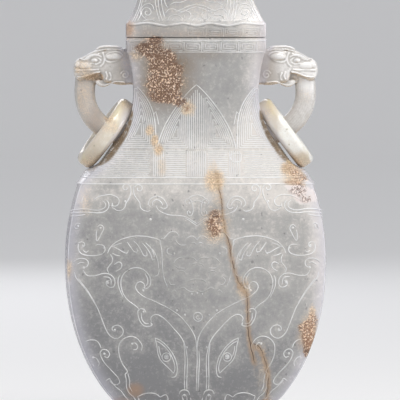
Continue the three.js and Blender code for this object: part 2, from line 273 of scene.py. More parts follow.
class Level:
    """One level's outline: two bowed faces, two bowed sides and four rounded corners"""

    def __init__(self, z, corner_x, corner_y, bow_x, bow_y, rounding):
        self.z = z
        self.corner_x = corner_x
        self.corner_y = corner_y
        self.bow_x = bow_x
        self.bow_y = bow_y
        self.cut_x = min(rounding, 0.45 * corner_x) / corner_x
        self.cut_y = min(rounding, 0.45 * corner_y) / corner_y

    def side_x(self, v):
        return self.corner_x + self.bow_x * (1 - v * v)

    def face_y(self, u):
        return self.corner_y + self.bow_y * (1 - u * u)

    def corner(self, t):
        """The rounded corner at +X +Y, from the side at t = 0 to the face at t = 1"""
        v, u = 1 - self.cut_y, 1 - self.cut_x
        start = (self.side_x(v), v * self.corner_y)
        end = (u * self.corner_x, self.face_y(u))
        middle = (self.corner_x, self.corner_y)
        shares = ((1 - t) ** 2, 2 * t * (1 - t), t * t)
        return tuple(
            sum(share * point[axis] for share, point in zip(shares, (start, middle, end)))
            for axis in (0, 1)
        )

    def outline(self, face_steps, side_steps, corner_steps):
        """Points once round, counter-clockwise from the middle of the right side"""
        quarter = []
        for i in range(side_steps):
            v = (1 - self.cut_y) * i / side_steps
            quarter.append((self.side_x(v), v * self.corner_y))
        quarter += [self.corner(i / corner_steps) for i in range(corner_steps)]
        for i in range(face_steps + 1):
            u = (1 - self.cut_x) * (1 - i / face_steps)
            quarter.append((u * self.corner_x, self.face_y(u)))
        half = quarter[:-1] + [(-x, y) for x, y in reversed(quarter)][:-1]
        whole = half + [(-x, -y) for x, y in half]
        return [(x, y, self.z) for x, y in whole]


def outer_level(z, rounding, proud=0.0):
    return Level(
        z, corner_half_width(z) + proud, front_half_depth(z) - face_bow(z) + proud,
        side_bow(z), face_bow(z), rounding,
    )


def inner_level(z):
    outer = outer_level(min(z, MOUTH_TOP - FLANGE_DEPTH - 1.5 * MM), MM)
    return Level(z, outer.corner_x - WALL_SIDE, outer.corner_y - WALL_FACE, 0, outer.bow_y,
                 INNER_ROUNDING)


def drawn_to(level, z, share, rounding):
    """A straight-sided level drawn in towards the axis, closed to a pole where share is 0"""
    return Level(z, max(level.corner_x * share, POINT), max(level.corner_y * share, POINT), 0, 0,
                 rounding * share + POINT)


def front_point(x, z, proud=0.0):
    """The point of the vase's front face straight behind (x, z)"""
    width = corner_half_width(z)
    u = min(max(x / width, -1.0), 1.0)
    depth = front_half_depth(z) - face_bow(z) * u * u
    return Vector((x, -(depth + proud), z))


# Making and finishing pieces

def clean_slate():
    if bpy.context.object and bpy.context.object.mode != "OBJECT":
        bpy.ops.object.mode_set(mode="OBJECT")
    bpy.ops.object.select_all(action="DESELECT")


def choose(piece):
    clean_slate()
    piece.select_set(True)
    bpy.context.view_layer.objects.active = piece


def rows_of(elements, key):
    """A vector of each element of a mesh, one row for each"""
    values = np.empty(len(elements) * 3)
    elements.foreach_get(key, values)
    return values.reshape(-1, 3)


def weld(piece, reach=0.0):
    """Merge the points closer than reach and turn every face outward"""
    choose(piece)
    bpy.ops.object.mode_set(mode="EDIT")
    bpy.ops.mesh.select_all(action="SELECT")
    if reach:
        bpy.ops.mesh.remove_doubles(threshold=reach)
    bpy.ops.mesh.normals_make_consistent(inside=False)
    bpy.ops.object.mode_set(mode="OBJECT")
    return piece


def fit_grid(name, rows):
    """A grid primitive whose vertices are laid along rows of points, each row a closed ring"""
    clean_slate()
    count_up, count_round = len(rows), len(rows[0])
    bpy.ops.mesh.primitive_grid_add(
        x_subdivisions=count_round, y_subdivisions=count_up - 1, size=2.0, location=(0, 0, 0),
    )
    piece = bpy.context.object
    piece.name = piece.data.name = name
    places = rows_of(piece.data.vertices, "co")
    around = np.rint((places[:, 0] + 1) / 2 * count_round).astype(int) % count_round
    upward = np.rint((places[:, 1] + 1) / 2 * (count_up - 1)).astype(int)
    piece.data.vertices.foreach_set("co", np.array(rows)[upward, around].ravel())
    return weld(piece, 0.02 * MM)


def join(pieces, name):
    clean_slate()
    for piece in pieces:
        piece.select_set(True)
    bpy.context.view_layer.objects.active = pieces[0]
    bpy.ops.object.join()
    whole = bpy.context.object
    whole.name = whole.data.name = name
    return whole


def settle(piece):
    choose(piece)
    bpy.ops.object.transform_apply(location=True, rotation=True, scale=True)
    return piece


def soften(piece):
    """Shade smoothly, but keep the edges sharper than 32 degrees"""
    choose(piece)
    bpy.ops.object.shade_smooth_by_angle(angle=math.radians(32))
    return piece


def polish(piece):
    choose(piece)
    bpy.ops.object.shade_smooth()
    return piece


def pick(piece, test, kind="VERT"):
    """Enter edit mode with only the vertices or edges chosen that lie where a test passes"""
    choose(piece)
    bpy.ops.object.mode_set(mode="EDIT")
    bpy.ops.mesh.select_mode(type=kind)
    bpy.ops.mesh.select_all(action="DESELECT")
    bpy.ops.object.mode_set(mode="OBJECT")
    mesh = piece.data
    passes = [test(vertex.co) for vertex in mesh.vertices]
    if kind == "VERT":
        chosen = [vertex for vertex in mesh.vertices if passes[vertex.index]]
    else:
        chosen = [edge for edge in mesh.edges if all(passes[i] for i in edge.vertices)]
    if not chosen:
        raise RuntimeError(f"Nothing on {piece.name} lies where it should be worked")
    for element in chosen:
        element.select = True
    bpy.ops.object.mode_set(mode="EDIT")


def apply_modifier(piece, kind, **settings):
    choose(piece)
    modifier = piece.modifiers.new(kind.title(), kind)
    for key, value in settings.items():
        setattr(modifier, key, value)
    bpy.ops.object.modifier_apply(modifier=modifier.name)
    return piece


def copy_of(piece, name, turn):
    """A copy with its own mesh, turned about the vase's axis"""
    twin = piece.copy()
    twin.data = piece.data.copy()
    twin.name = twin.data.name = name
    bpy.context.scene.collection.objects.link(twin)
    twin.data.transform(turn)
    return twin


HALF_TURN = Matrix.Rotation(math.pi, 4, "Z")


def dress(piece, material, body, slot, *nodes, wear_and_light=0.0, levels=None):
    """Give a piece its stone, its tints and its body, and hide the imported parts it stands for"""
    if not piece.data.polygons:
        raise RuntimeError(f"{piece.name} came out empty")
    piece.data.materials.clear()
    piece.data.materials.append(material)
    tint(piece, wear_and_light, levels, MOUTH_TOP if body == "cover" else 0)
    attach(piece, body)
    if nodes:
        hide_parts(*nodes)
    return piece


# Spots of the drawing: place across and down, half width and half height in steps, and strength

# Brown skin
RUSSET_SPOTS = (
    (155, 41, 11, 5, 0.85), (150, 50, 15, 8, 0.95), (162, 58, 15, 10, 1.0), (166, 69, 18, 11, 1.0),
    (165, 82, 19, 12, 1.0), (166, 95, 18, 9, 0.95), (180, 102, 8, 6, 0.75), (188, 108, 5, 5, 0.55),
    (214, 221, 10, 16, 0.76), (311, 318, 6, 10, 0.75), (306, 325, 10, 8, 0.85),
    (308, 335, 8, 11, 0.95), (306, 347, 5, 9, 0.85), (294, 172, 10, 7, 0.6),
    (301, 177, 11, 6, 0.62), (296, 182, 9, 3, 0.6), (297, 189, 11, 9, 0.66), (304, 197, 9, 6, 0.64),
    (240, 282, 5, 3, 0.5), (215, 178, 8, 8, 0.38), (266, 399, 8, 4, 0.7),
)
# Brown tint in the stone round the skin, with painted shade in the left head's mouth at (93, 77)
UMBER_SPOTS = (
    (150, 50, 24, 15, 0.55), (168, 66, 25, 18, 0.95), (166, 84, 25, 22, 0.9), (196, 56, 26, 5, 0.4),
    (128, 68, 9, 22, 0.14), (267, 68, 9, 22, 0.4), (93, 77, 11, 4, 0.5), (154, 108, 10, 8, 0.3),
    (200, 34, 62, 6, 0.22), (160, 31, 34, 9, 0.14),
)
# Straw-coloured ends of the rings
STRAW_SPOTS = (
    (130, 100, 7, 9, 0.55), (80, 162, 8, 8, 0.5), (119, 116, 5, 20, 0.3),
    (266, 101, 7, 9, 0.75), (306, 161, 12, 9, 0.52), (272, 120, 5, 22, 0.45),
)
# Smooth copper stains, and a painted shadow under the ridge on the right shoulder at (292, 181)
BLUSH_SPOTS = (
    (136, 387, 9, 8, 0.7), (301, 336, 8, 15, 0.4), (122, 400, 14, 7, 0.5), (292, 181, 11, 2.4, 0.7),
    (286, 167, 6, 5, 0.55), (93, 77, 10, 5, 0.4), (312, 316, 5, 10, 0.45), (95, 122, 11, 20, 0.42),
    (85, 94, 9, 22, 0.3), (129, 30, 6, 9, 0.7), (152, 32, 34, 5, 0.3), (206, 35, 66, 3, 0.35),
    (196, 6, 66, 20, 0.22),
)
# Places painted paler: partly milky stone, partly painted light on the heads, on the lower neck's
# right side and on the shoulder
MILKY_AND_LIT_SPOTS = (
    (309, 74, 13, 16, 0.4), (292, 66, 18, 10, 0.25), (98, 62, 20, 8, 0.2), (252, 30, 16, 8, 0.3),
    (250, 128, 12, 20, 0.25), (262, 160, 40, 14, 0.15), (190, 160, 40, 14, 0.12),
)
# Where the threads' paler painted highlight fades to the plain stone tones
THREAD_FADING_SPOTS = (
    (197, 270, 40, 42, 0.55), (208, 206, 26, 16, 0.3), (214, 122, 14, 22, 0.3),
    (196, 47, 92, 9, 0.2), (196, 30, 92, 7, 0.5),
)
# Tan clouds
TAN_SPOTS = (
    (156, 50, 17, 14, 0.5), (167, 82, 21, 22, 0.45), (188, 108, 8, 8, 0.85), (130, 30, 9, 12, 0.5),
    (136, 56, 7, 7, 0.6), (126, 66, 8, 20, 0.35), (152, 33, 40, 7, 0.22), (93, 77, 11, 4, 0.9),
    (162, 166, 5, 10, 0.6), (150.5, 130, 4.5, 5.5, 1.0), (155, 140, 4, 6.5, 1.1),
    (159, 149, 4.5, 6, 1.1), (214, 179, 10, 12, 1.1), (213, 166, 5, 7, 0.6),
    (215, 224, 14, 18, 0.75), (308, 331, 9, 20, 1.0), (311, 312, 4, 10, 0.9), (289, 168, 9, 8, 1.2),
    (294, 175, 12, 9, 1.0), (294, 182, 10, 4, 0.9), (67, 267, 7, 12, 0.8), (87, 200, 8, 16, 0.45),
    (217, 196, 7, 16, 0.5), (262, 362, 9, 30, 0.4), (243, 286, 9, 12, 0.6), (83, 68, 12, 8, 0.7),
    (110, 117, 6, 8, 0.75), (128, 103, 7, 8, 0.6), (305, 96, 8, 10, 0.35), (82, 100, 13, 34, 0.5),
    (206, 35, 66, 4, 0.25), (196, 6, 66, 20, 0.25), (96, 125, 14, 30, 0.3), (268, 112, 6, 14, 0.5),
    (280, 140, 5, 26, 0.34), (88, 162, 12, 5, 0.75), (112, 128, 12, 5, 0.6), (110, 119, 5, 5, 0.9),
    (299, 78, 8, 5, 0.5),
)
# The outline of the chipped, chalky place on the right shoulder
SCAR = ((283, 184), (300, 184), (312, 188), (316, 196), (314, 201), (298, 202), (291, 194))
# Points of each vein and how strong it is there
VEINS = (
    ((216, 172, 0.8), (219, 190, 0.8), (221, 200, 0.7), (222, 212, 0.75), (225, 231, 0.9),
     (229, 244, 1.0), (230, 253, 0.95), (234, 270, 1.0), (239, 283, 1.1), (246, 292, 1.0),
     (247, 314, 0.9), (248, 332, 1.0), (250, 345, 1.1), (253, 358, 1.0), (255, 364, 0.5)),
    ((250, 343, 1.1), (257, 345, 1.1), (261, 350, 1.1), (264, 359, 1.0), (267, 370, 1.1),
     (268, 384, 0.9), (266, 399, 0.8)),
    ((238, 284, 1.1), (244, 281, 0.8)),
)

# How pale the stone is painted down its middle: 0 deep, 0.5 middling, 1 milky; partly the stone's
# own tone, partly painted light on the upward-facing shoulder and painted shade low on the body
PALENESS_AND_LIGHT = through([
    (-60, 0.52), (-30, 0.5), (-8, 0.5), (10, 0.47), (26, 0.64), (46, 0.62), (60, 0.5), (85, 0.5),
    (112, 0.58), (150, 0.76), (178, 0.8), (187, 0.8), (214, 0.54), (262, 0.47), (330, 0.32),
    (384, 0.17), (442, 0.15),
])
# How far the rings' painted shadow, on the tan-brown stone of the narrow sides, wraps round the
# corners behind the rings
RING_SHADOW_WRAP = through([
    (92, -30), (100, -12), (112, 2.2), (124, 4.4), (140, 5.6), (158, 5.6), (163, 3.4), (168, -12),
    (172, -30),
])
# Levels down the drawing for which the curves above are worked out
LEVELS_DOWN = np.linspace(-60, 450, 256)
VEIN_WIDTH = 3.6
# How much paler the thin edges are painted on the left and on the right, a painted edge light
# stronger on the right where more light falls, and how far in that and the lilac painted rim
# light reach
EDGE_GLOW = (0.16, 0.34)
GLOW_REACH = 13
PAINTED_RIM_LIGHT_REACH = 9


def standing_out(mesh, places, normals, passes=5):
    """How far each vertex stands proud of its smoothed neighbourhood"""
    ends = np.empty(len(mesh.edges) * 2, dtype=np.int32)
    mesh.edges.foreach_get("vertices", ends)
    ends = ends.reshape(-1, 2)
    count = len(places)
    links = np.maximum(np.bincount(ends.ravel(), minlength=count), 1)[:, None]
    settled = places
    for _ in range(passes):
        total = np.empty_like(places)
        for axis in range(3):
            total[:, axis] = (
                np.bincount(ends[:, 0], settled[ends[:, 1], axis], count)
                + np.bincount(ends[:, 1], settled[ends[:, 0], axis], count)
            )
        settled = total / links
    return ((places - settled) * normals).sum(axis=1)


def in_spots(spots, across, down):
    """How strongly soft-edged spots cover each point of the drawing"""
    total = np.zeros(len(down))
    for x, y, wide, high, weight in spots:
        reach = ((across - x) / wide) ** 2 + ((down - y) / high) ** 2
        total = np.maximum(total, weight * np.exp(-0.7 * reach ** 1.5))
    return total


def in_scar(across, down):
    """1 inside the scar's outline and 0 outside it, with an edge one step wide"""
    depth = np.full(len(down), 1e3)
    for (x0, y0), (x1, y1) in zip(SCAR, SCAR[1:] + SCAR[:1]):
        away = (x1 - x0) * (down - y0) - (y1 - y0) * (across - x0)
        depth = np.minimum(depth, away / math.hypot(x1 - x0, y1 - y0))
    return np.clip(0.5 + depth, 0, 1)


def in_veins(across, down):
    """How strong the nearest vein is at each point of the drawing"""
    vein = np.zeros(len(down))
    for line in VEINS:
        for (x0, y0, start), (x1, y1, end) in zip(line, line[1:]):
            along_x, along_y = x1 - x0, y1 - y0
            t = ((across - x0) * along_x + (down - y0) * along_y) / (along_x ** 2 + along_y ** 2)
            t = np.clip(t, 0, 1)
            gap = np.hypot(across - x0 - t * along_x, down - y0 - t * along_y)
            vein = np.maximum(vein, lerp(start, end, t) * np.exp(-(gap / VEIN_WIDTH) ** 1.6))
    return vein


def tint(piece, wear_and_light=0.0, levels=None, skin_from=0.0):
    """Write how russet, tan, scarred, veined and pale the stone is at each vertex

    The wear setting paints what stands out paler and the rest darker, partly wear and partly
    painted highlight on raised parts and painted shade in hollows; levels set how pale the left
    and right pieces are painted, the right ones paler where more light falls; and the brown skin
    only shows above the height skin_from."""
    mesh = piece.data
    places, normals = rows_of(mesh.vertices, "co"), rows_of(mesh.vertices, "normal")
    worn_and_lit = 0.0
    if wear_and_light:
        # Painted light and shade on the relief: what stands out is painted paler and the rest
        # darker
        worn_and_lit = np.clip(wear_and_light * standing_out(mesh, places, normals) / MM, -0.3, 0.7) - 0.24
    across = AXIS + places[:, 0] / DRAWING_STEP
    down = DRAWING_FOOT - places[:, 2] / DRAWING_STEP
    right = places[:, 0] > 0
    front = np.clip(0.5 - places[:, 1] / (8 * MM), 0.0, 1.0) * (places[:, 2] >= skin_from)
    heights = [min(max((DRAWING_FOOT - y) * DRAWING_STEP, 0), MOUTH_TOP) for y in LEVELS_DOWN]

    def down_the_vase(values):
        return np.interp(down, LEVELS_DOWN, values)

    # On the narrow sides the spots are measured on round the corner
    depths = down_the_vase([front_half_depth(z) for z in heights])
    behind = np.clip(places[:, 1] + depths - 5 * MM, 0, None) / DRAWING_STEP
    behind *= np.clip((np.abs(normals[:, 0]) - 0.6) / 0.3, 0, 1)
    around = across + np.sign(places[:, 0]) * behind

    def spots(listed):
        return in_spots(listed, around, down)

    widths = down_the_vase([corner_half_width(z) for z in heights])
    inward = (widths - np.abs(places[:, 0])) / DRAWING_STEP
    within = np.clip(inward, 0, None)
    # Painted light: the thin edges paler, more so on the right, and the whole face paler towards
    # the right, where more light falls
    glow = np.where(right, EDGE_GLOW[1], EDGE_GLOW[0]) * np.exp(-(within / GLOW_REACH) ** 2)
    pale = down_the_vase([PALENESS_AND_LIGHT(y) for y in LEVELS_DOWN]) + (glow + 0.0009 * (across - AXIS))
    # Painted rim light: lilac white near the outline's edges, as light shining through the thin
    # stone
    painted_rim_light = np.exp(-(within / PAINTED_RIM_LIGHT_REACH) ** 2) * np.clip((inward + 10) / 4, 0, 1)
    umber_and_shadow = spots(UMBER_SPOTS) * front
    tan = spots(TAN_SPOTS) * (0.3 + 0.7 * front)
    if levels:
        # Painted light: each side's copy gets its own paleness, the right one paler where more
        # light falls
        pale = np.where(right, levels[1], levels[0]) - spots(STRAW_SPOTS)
        # Painted shade: faces turned downwards are tinted tan and umber
        under = np.clip(-1.4 * normals[:, 2] - 0.3, 0, 1)
        tan = np.maximum(tan, 0.8 * under)
        umber_and_shadow = np.maximum(umber_and_shadow, 0.35 * under)
    else:
        # Painted shadow of the rings on the narrow sides behind them, in umber, with the painted
        # rim light taken out there
        wrap = down_the_vase([RING_SHADOW_WRAP(y) for y in LEVELS_DOWN])
        ring_shadow = np.clip((wrap - inward) / 1.4 + 0.5, 0, 1)
        umber_and_shadow = np.maximum(umber_and_shadow, ring_shadow)
        painted_rim_light *= 1 - ring_shadow
    fields = {
        "painted_rim_light": painted_rim_light,
        "russet": spots(RUSSET_SPOTS) * front,
        "tan": tan,
        "umber_and_shadow": umber_and_shadow,
        "blush": spots(BLUSH_SPOTS) * front,
        "thread_fading": spots(THREAD_FADING_SPOTS),
        "vein": in_veins(across, down) * front,
        "scar": in_scar(across, down) * front,
        "pale": np.clip(pale + worn_and_lit + spots(MILKY_AND_LIT_SPOTS), 0, 1.3),
    }
    for name, values in fields.items():
        layer = mesh.attributes.new(name, "FLOAT", "POINT")
        layer.data.foreach_set("value", values.astype(np.float32))


# Shader helpers

class Value:
    """A socket that carries a number, with the arithmetic that adds Math nodes"""

    def __init__(self, graph, socket):
        self.graph = graph
        self.socket = socket

    def __add__(self, other):
        return self.graph.math("ADD", self, other)

    __radd__ = __add__

    def __mul__(self, other):
        return self.graph.math("MULTIPLY", self, other)

    __rmul__ = __mul__

    def __sub__(self, other):
        return self.graph.math("SUBTRACT", self, other)


# The colour sockets of a Mix node, which share their names with other kinds
MIX_FIRST, MIX_SECOND, MIX_RESULT = 6, 7, 2
# The palest tone of the rings and of the heads
RING_MILK = (0.93, 0.93, 0.89)
HEAD_MILK = (0.95, 0.95, 0.95)


class Graph:
    """A material's node tree, written as expressions"""

    def __init__(self, name):
        self.material = bpy.data.materials.new(name)
        self.material.use_nodes = True
        self.tree = self.material.node_tree
        self.shader = self.tree.nodes["Principled BSDF"]

    def node(self, kind, settings=None, **inputs):
        node = self.tree.nodes.new(kind)
        for key, value in (settings or {}).items():
            setattr(node, key, value)
        for key, value in inputs.items():
            self.put(node.inputs[key.replace("_", " ")], value)
        return node

    def put(self, socket, value):
        if isinstance(value, Value):
            value = value.socket
        if isinstance(value, bpy.types.NodeSocket):
            self.tree.links.new(value, socket)
        elif hasattr(value, "__len__") and len(value) == 3 and socket.type == "RGBA":
            socket.default_value = (*value, 1.0)
        else:
            socket.default_value = value

    def math(self, operation, *values, clamp=False):
        node = self.node("ShaderNodeMath", {"operation": operation, "use_clamp": clamp})
        for socket, value in zip(node.inputs, values):
            self.put(socket, value)
        return Value(self, node.outputs[0])

    def clamp(self, value):
        return self.math("MULTIPLY", value, 1.0, clamp=True)

    def ramp(self, value, low, high):
        """0 below low and 1 above high, with a smooth rise between"""
        node = self.node("ShaderNodeMapRange", {"interpolation_type": "SMOOTHSTEP"},
                         Value=value, From_Min=low, From_Max=high)
        return Value(self, node.outputs["Result"])

    def attribute(self, name):
        node = self.node("ShaderNodeAttribute", {"attribute_name": name})
        return Value(self, node.outputs["Fac"])

    def mix(self, share, first, second):
        node = self.node("ShaderNodeMix", {"data_type": "RGBA"}, Factor=share)
        self.put(node.inputs[MIX_FIRST], first)
        self.put(node.inputs[MIX_SECOND], second)
        return node.outputs[MIX_RESULT]

    def noise(self, place, scale, detail=4.0, roughness=0.55):
        node = self.node("ShaderNodeTexNoise", Vector=place, Scale=scale, Detail=detail,
                         Roughness=roughness)
        return Value(self, node.outputs[0])

    def by_paleness(self, pale, deep, stone, milky):
        """The deep tone, the middling one or the milky one, by how pale the stone is"""
        colour = self.mix(self.ramp(pale, 0.1, 0.55), deep, stone)
        return self.mix(self.ramp(pale, 0.45, 1.0), colour, milky)


def scaled(colour, share):
    return tuple(share * c for c in colour)


def blend(first, second, share):
    return tuple(lerp(a, b, share) for a, b in zip(first, second))


def jade(name, tones, colours, roughness=0.26, faint=0.0, rusty=0.7):
    """Polished jade: clouded stone in three tones, with tan and russet skin, veins and scars"""
    g = Graph(name)
    place = g.node("ShaderNodeTexCoord").outputs["Object"]
    halo, tan_share, scar = g.attribute("halo"), g.attribute("tan"), g.attribute("scar")
    broad = g.noise(place, 46.0, 3.0)
    fine = g.noise(place, 420.0, 5.0, 0.65)
    grain = g.noise(place, 1500.0, 3.0, 0.7)
    patchy = g.noise(place, 1150.0, 2.0, 0.6)

    # Clouded stone, with dark dots and pale flecks
    pale = g.attribute("pale") + 0.5 * (broad - 0.5) + 0.5 * (fine - 0.5) + 0.3 * (grain - 0.5)
    # Painted light: the ground near the relief threads is paler
    pale = pale + 0.11 * halo - 0.03
    colour = g.by_paleness(pale, *tones)
    dots = g.ramp(g.noise(place, 340.0, 1.0, 0.5), 0.72, 0.78)
    colour = g.mix(0.6 * dots, colour, scaled(tones[0], 0.6))
    flecks = g.ramp(g.noise(place, 560.0, 3.0, 0.6), 0.58, 0.76)
    colour = g.mix(0.2 * flecks, colour, colours.pale)
    # Painted highlight on the threads: their paler tones are broken up by noise and faded to the
    # plain stone tones where faint
    if faint:
        worn_and_lit = g.ramp(0.6 * g.noise(place, 170.0, 2.0, 0.5) + 0.4 * fine, 0.38, 0.62)
        plain = g.by_paleness(pale, colours.deep, colours.stone, colours.pale)
        colour = g.mix(g.clamp(faint * worn_and_lit + g.attribute("thread_fading")), colour, plain)
    # Painted rim light: lilac white near the edges
    colour = g.mix(0.45 * g.attribute("painted_rim_light"), colour, colours.painted_rim_light)

    # Brown tint round the skin and painted shadow behind the rings and under the rings and heads,
    # tan clouds, chalky scar and copper stains
    shade = g.attribute("umber_and_shadow") * g.ramp(fine + 0.5 * broad, 0.3, 0.8)
    colour = g.mix(shade, colour, colours.umber_and_shadow)
    tan = g.ramp(tan_share + 0.6 * (patchy - 0.5) + 0.6 * (fine - 0.5), 0.15, 1.1)
    gold = g.mix(g.ramp(patchy, 0.46, 0.56), colours.tan, colours.gold)
    colour = g.mix(0.85 * tan, colour, gold)
    chalk = scar * g.ramp(fine, 0.25, 0.5)
    colour = g.mix(0.85 * chalk, colour, colours.chalk)
    blush = g.attribute("blush") + 0.3 * (fine - 0.5)
    stain = blend(colours.copper, colours.tan, 0.35)
    colour = g.mix(0.75 * g.ramp(blush, 0.1, 0.9), colour, stain)

    # Brown skin with cream specks
    skin = g.attribute("russet") + 0.9 * (fine - 0.5) + 0.4 * (patchy - 0.5)
    russet = g.ramp(skin, 0.36, 0.72)
    dense = patchy + 0.25 * (broad - 0.5) + 0.1 * scar + 0.05 * tan_share
    speck = g.ramp(dense, 0.54, 0.64)
    brown = g.mix(g.ramp(grain, 0.3, 0.7), scaled(colours.russet, 0.7), scaled(colours.russet, 1.6))
    brown = g.mix(0.75 * g.ramp(tan_share, 0.55, 0.95), brown, colours.copper)
    cream = g.mix(g.ramp(grain, 0.45, 0.75), colours.speck, colours.thread)
    cream = g.mix(0.8 * scar, cream, colours.chalk)
    colour = g.mix(0.9 * russet, colour, g.mix(speck, brown, cream))

    # Rusty veins
    line = g.attribute("vein") + 0.9 * (fine - 0.5) + 0.4 * (patchy - 0.5)
    rust = blend(colours.tan, colours.russet, 0.35)
    colour = g.mix(rusty * g.ramp(line, 0.15, 1.0), colour, rust)
    g.put(g.shader.inputs["Base Color"], colour)
    dull = 0.16 * (fine - 0.5) + 0.14 * russet + 0.2 * chalk
    g.put(g.shader.inputs["Roughness"], roughness + dull)
    bump = g.node("ShaderNodeBump", Strength=0.15, Distance=0.14 * MM,
                  Height=fine + 0.5 * grain + 0.6 * russet * speck)
    g.put(g.shader.inputs["Normal"], bump.outputs["Normal"])
    for socket, value in (("Subsurface Weight", 0.15), ("Subsurface Radius", (1.0, 0.9, 0.75)),
                          ("Subsurface Scale", 1.2 * MM), ("IOR", 1.6)):
        g.shader.inputs[socket].default_value = value
    return g.material


def stone_material(kind):
    """The material of a kind of stone piece, made once"""
    existing = bpy.data.materials.get(kind)
    if existing:
        return existing
    colours = bpy.context.scene.vase_colours
    tones = (colours.deep, colours.stone, colours.pale)
    # Threads are painted paler than the ground, a painted highlight on their raised edges
    if kind in ("thread_jade", "leaf_jade"):
        shares = (0.66, 0.86, 1.0)
        tones = [blend(tone, colours.thread, share) for tone, share in zip(tones, shares)]
        return jade(kind, tones, colours, 0.2, 0.45 if kind == "thread_jade" else 0.26)
    if kind == "crack_jade":
        tones = [scaled(colours.russet, share) for share in (0.3, 0.6, 1.0)]
        return jade(kind, tones, colours, 0.4, rusty=0.1)
    if kind == "ring_jade":
        tones = (colours.straw, colours.ring, RING_MILK)
    if kind == "head_jade":
        tones = (scaled(colours.pale, 0.58), scaled(colours.pale, 0.74),
                 blend(colours.pale, HEAD_MILK, 0.55))
    return jade(kind, tones, colours, 0.26 if kind == "vase_jade" else 0.2)


# The relief's drawing: left half of a broad face, in drawing steps across and down

THREAD_STEP = 1.3
# How far from the mask's threads the ground is painted paler, a painted light on the raised bands
HALO_REACH = 4.0


def curl(x, y, radius, start, turns, inner=0.22):
    """A spiral wound from its rim to its heart; positive turns run clockwise in the drawing"""
    count = max(int(abs(turns) * 12), 4)
    points = []
    for i in range(count + 1):
        t = i / count
        angle = math.radians(start + 360 * turns * t)
        reach = radius * lerp(1, inner, t)
        points.append((x + reach * math.cos(angle), y + reach * math.sin(angle)))
    return tuple(points)


BORDER = (
    ((71, 210), (85, 208.5), (96, 210), (102, 209), (105.6, 206.6), (105.4, 202.6), (103, 200.4)),
    ((71, 212.8), (87, 212), (98.7, 212.7), (105.6, 211), (109, 207), (109, 202.6), (106.8, 199.6)),
    ((71, 215.8), (79, 215.6), (86, 214)),
    ((94.6, 199), (100, 196), (106, 194.8), (111.4, 194.4), (117, 196.7), (119.4, 200),
     (118.5, 204), (115.4, 206), (112.4, 205), (113, 202.4)),
    ((112.5, 207), (117, 210), (121.7, 210), (125, 207), (126.2, 203), (129, 198.4),
     (130.9, 192.6), (130.9, 187), *curl(126, 187.6, 4.6, 0, -1.1)),
    ((133.8, 186), (134, 193), (136.6, 198), (139.5, 202), (140.6, 207), (143.5, 210),
     (148, 211), (150.6, 209.6)),
    ((133.8, 186), *curl(139, 188.4, 4.6, 190, 1.15)),
    ((150.6, 207), (148.4, 203.6), (149.6, 199.4), (153.5, 196.7), (158, 196), (162.7, 198.2),
     (165.7, 202.2), (166.8, 206.4), (163.6, 208.6), (160.4, 206.8)),
    ((152.6, 205.4), (152.6, 201.8), (156.4, 199.4), (160.6, 201.4), (162.6, 205)),
    ((156, 205.4), (157.4, 208.4), (160, 211), (165, 213.3), (170.7, 214.7), (182, 215.6),
     (188, 218), (192.5, 220.8), (196.5, 223.2)),
    ((184, 217.6), (188.4, 220), (192, 222.4), (196.5, 225.6)),
    ((186, 204), (184.6, 201), (187.4, 198.4), (190.4, 200), (192.2, 205), (192.6, 211.6),
     (190.6, 215.4), (187.4, 214.6), (187, 211.4), (189, 210)),
    ((186.5, 200.6), (190, 196.6), (196.5, 194.2)),
    ((190, 203), (193, 201), (196.5, 200.4)),
)
FLANK = (
    ((84, 196), (82.4, 200), (82.6, 203)),
    ((81, 223.6), (78, 223), (75.4, 225.6), (76, 228.4), (79, 228)),
    ((98, 226.6), (100.4, 224.6), (103.4, 226), (104, 229), (102, 233), (99.6, 238), (97.2, 240.6),
     (96.6, 235), (97.4, 229.6)),
    ((79, 242.6), (82, 241.6), (85, 243.2), (84.6, 246.4), (82, 247)),
    ((79, 243.4), (78.6, 248), (80.4, 252), (83.8, 254.2), (90, 255.4), (98, 255),
     (103.3, 253), (105.4, 249.4), (104, 245.4), (99, 244.2), (96, 245)),
    ((83.6, 250), (86.6, 252), (89, 250.4)),
    ((73, 262.6), (76, 260), (80, 258.4), (85.4, 258.6), (88.6, 261.4), (88, 265.6), (85.4, 267.2)),
    ((76.6, 265), (81, 262.4), (85, 262.6)),
    ((83.6, 269.4), (85.5, 273), (88.4, 275.4), (94, 275.6), (98.7, 274.5), (103, 273.3),
     (108, 273.3), (112, 275.2), (114.6, 278.6), (115.2, 283), (113.6, 286.6), (109.4, 286.8),
     (106.6, 284), (107, 280.8), (110, 280.4)),
    ((104, 276.4), (109.4, 277.2), (111.4, 280.4), (111.2, 284)),
)
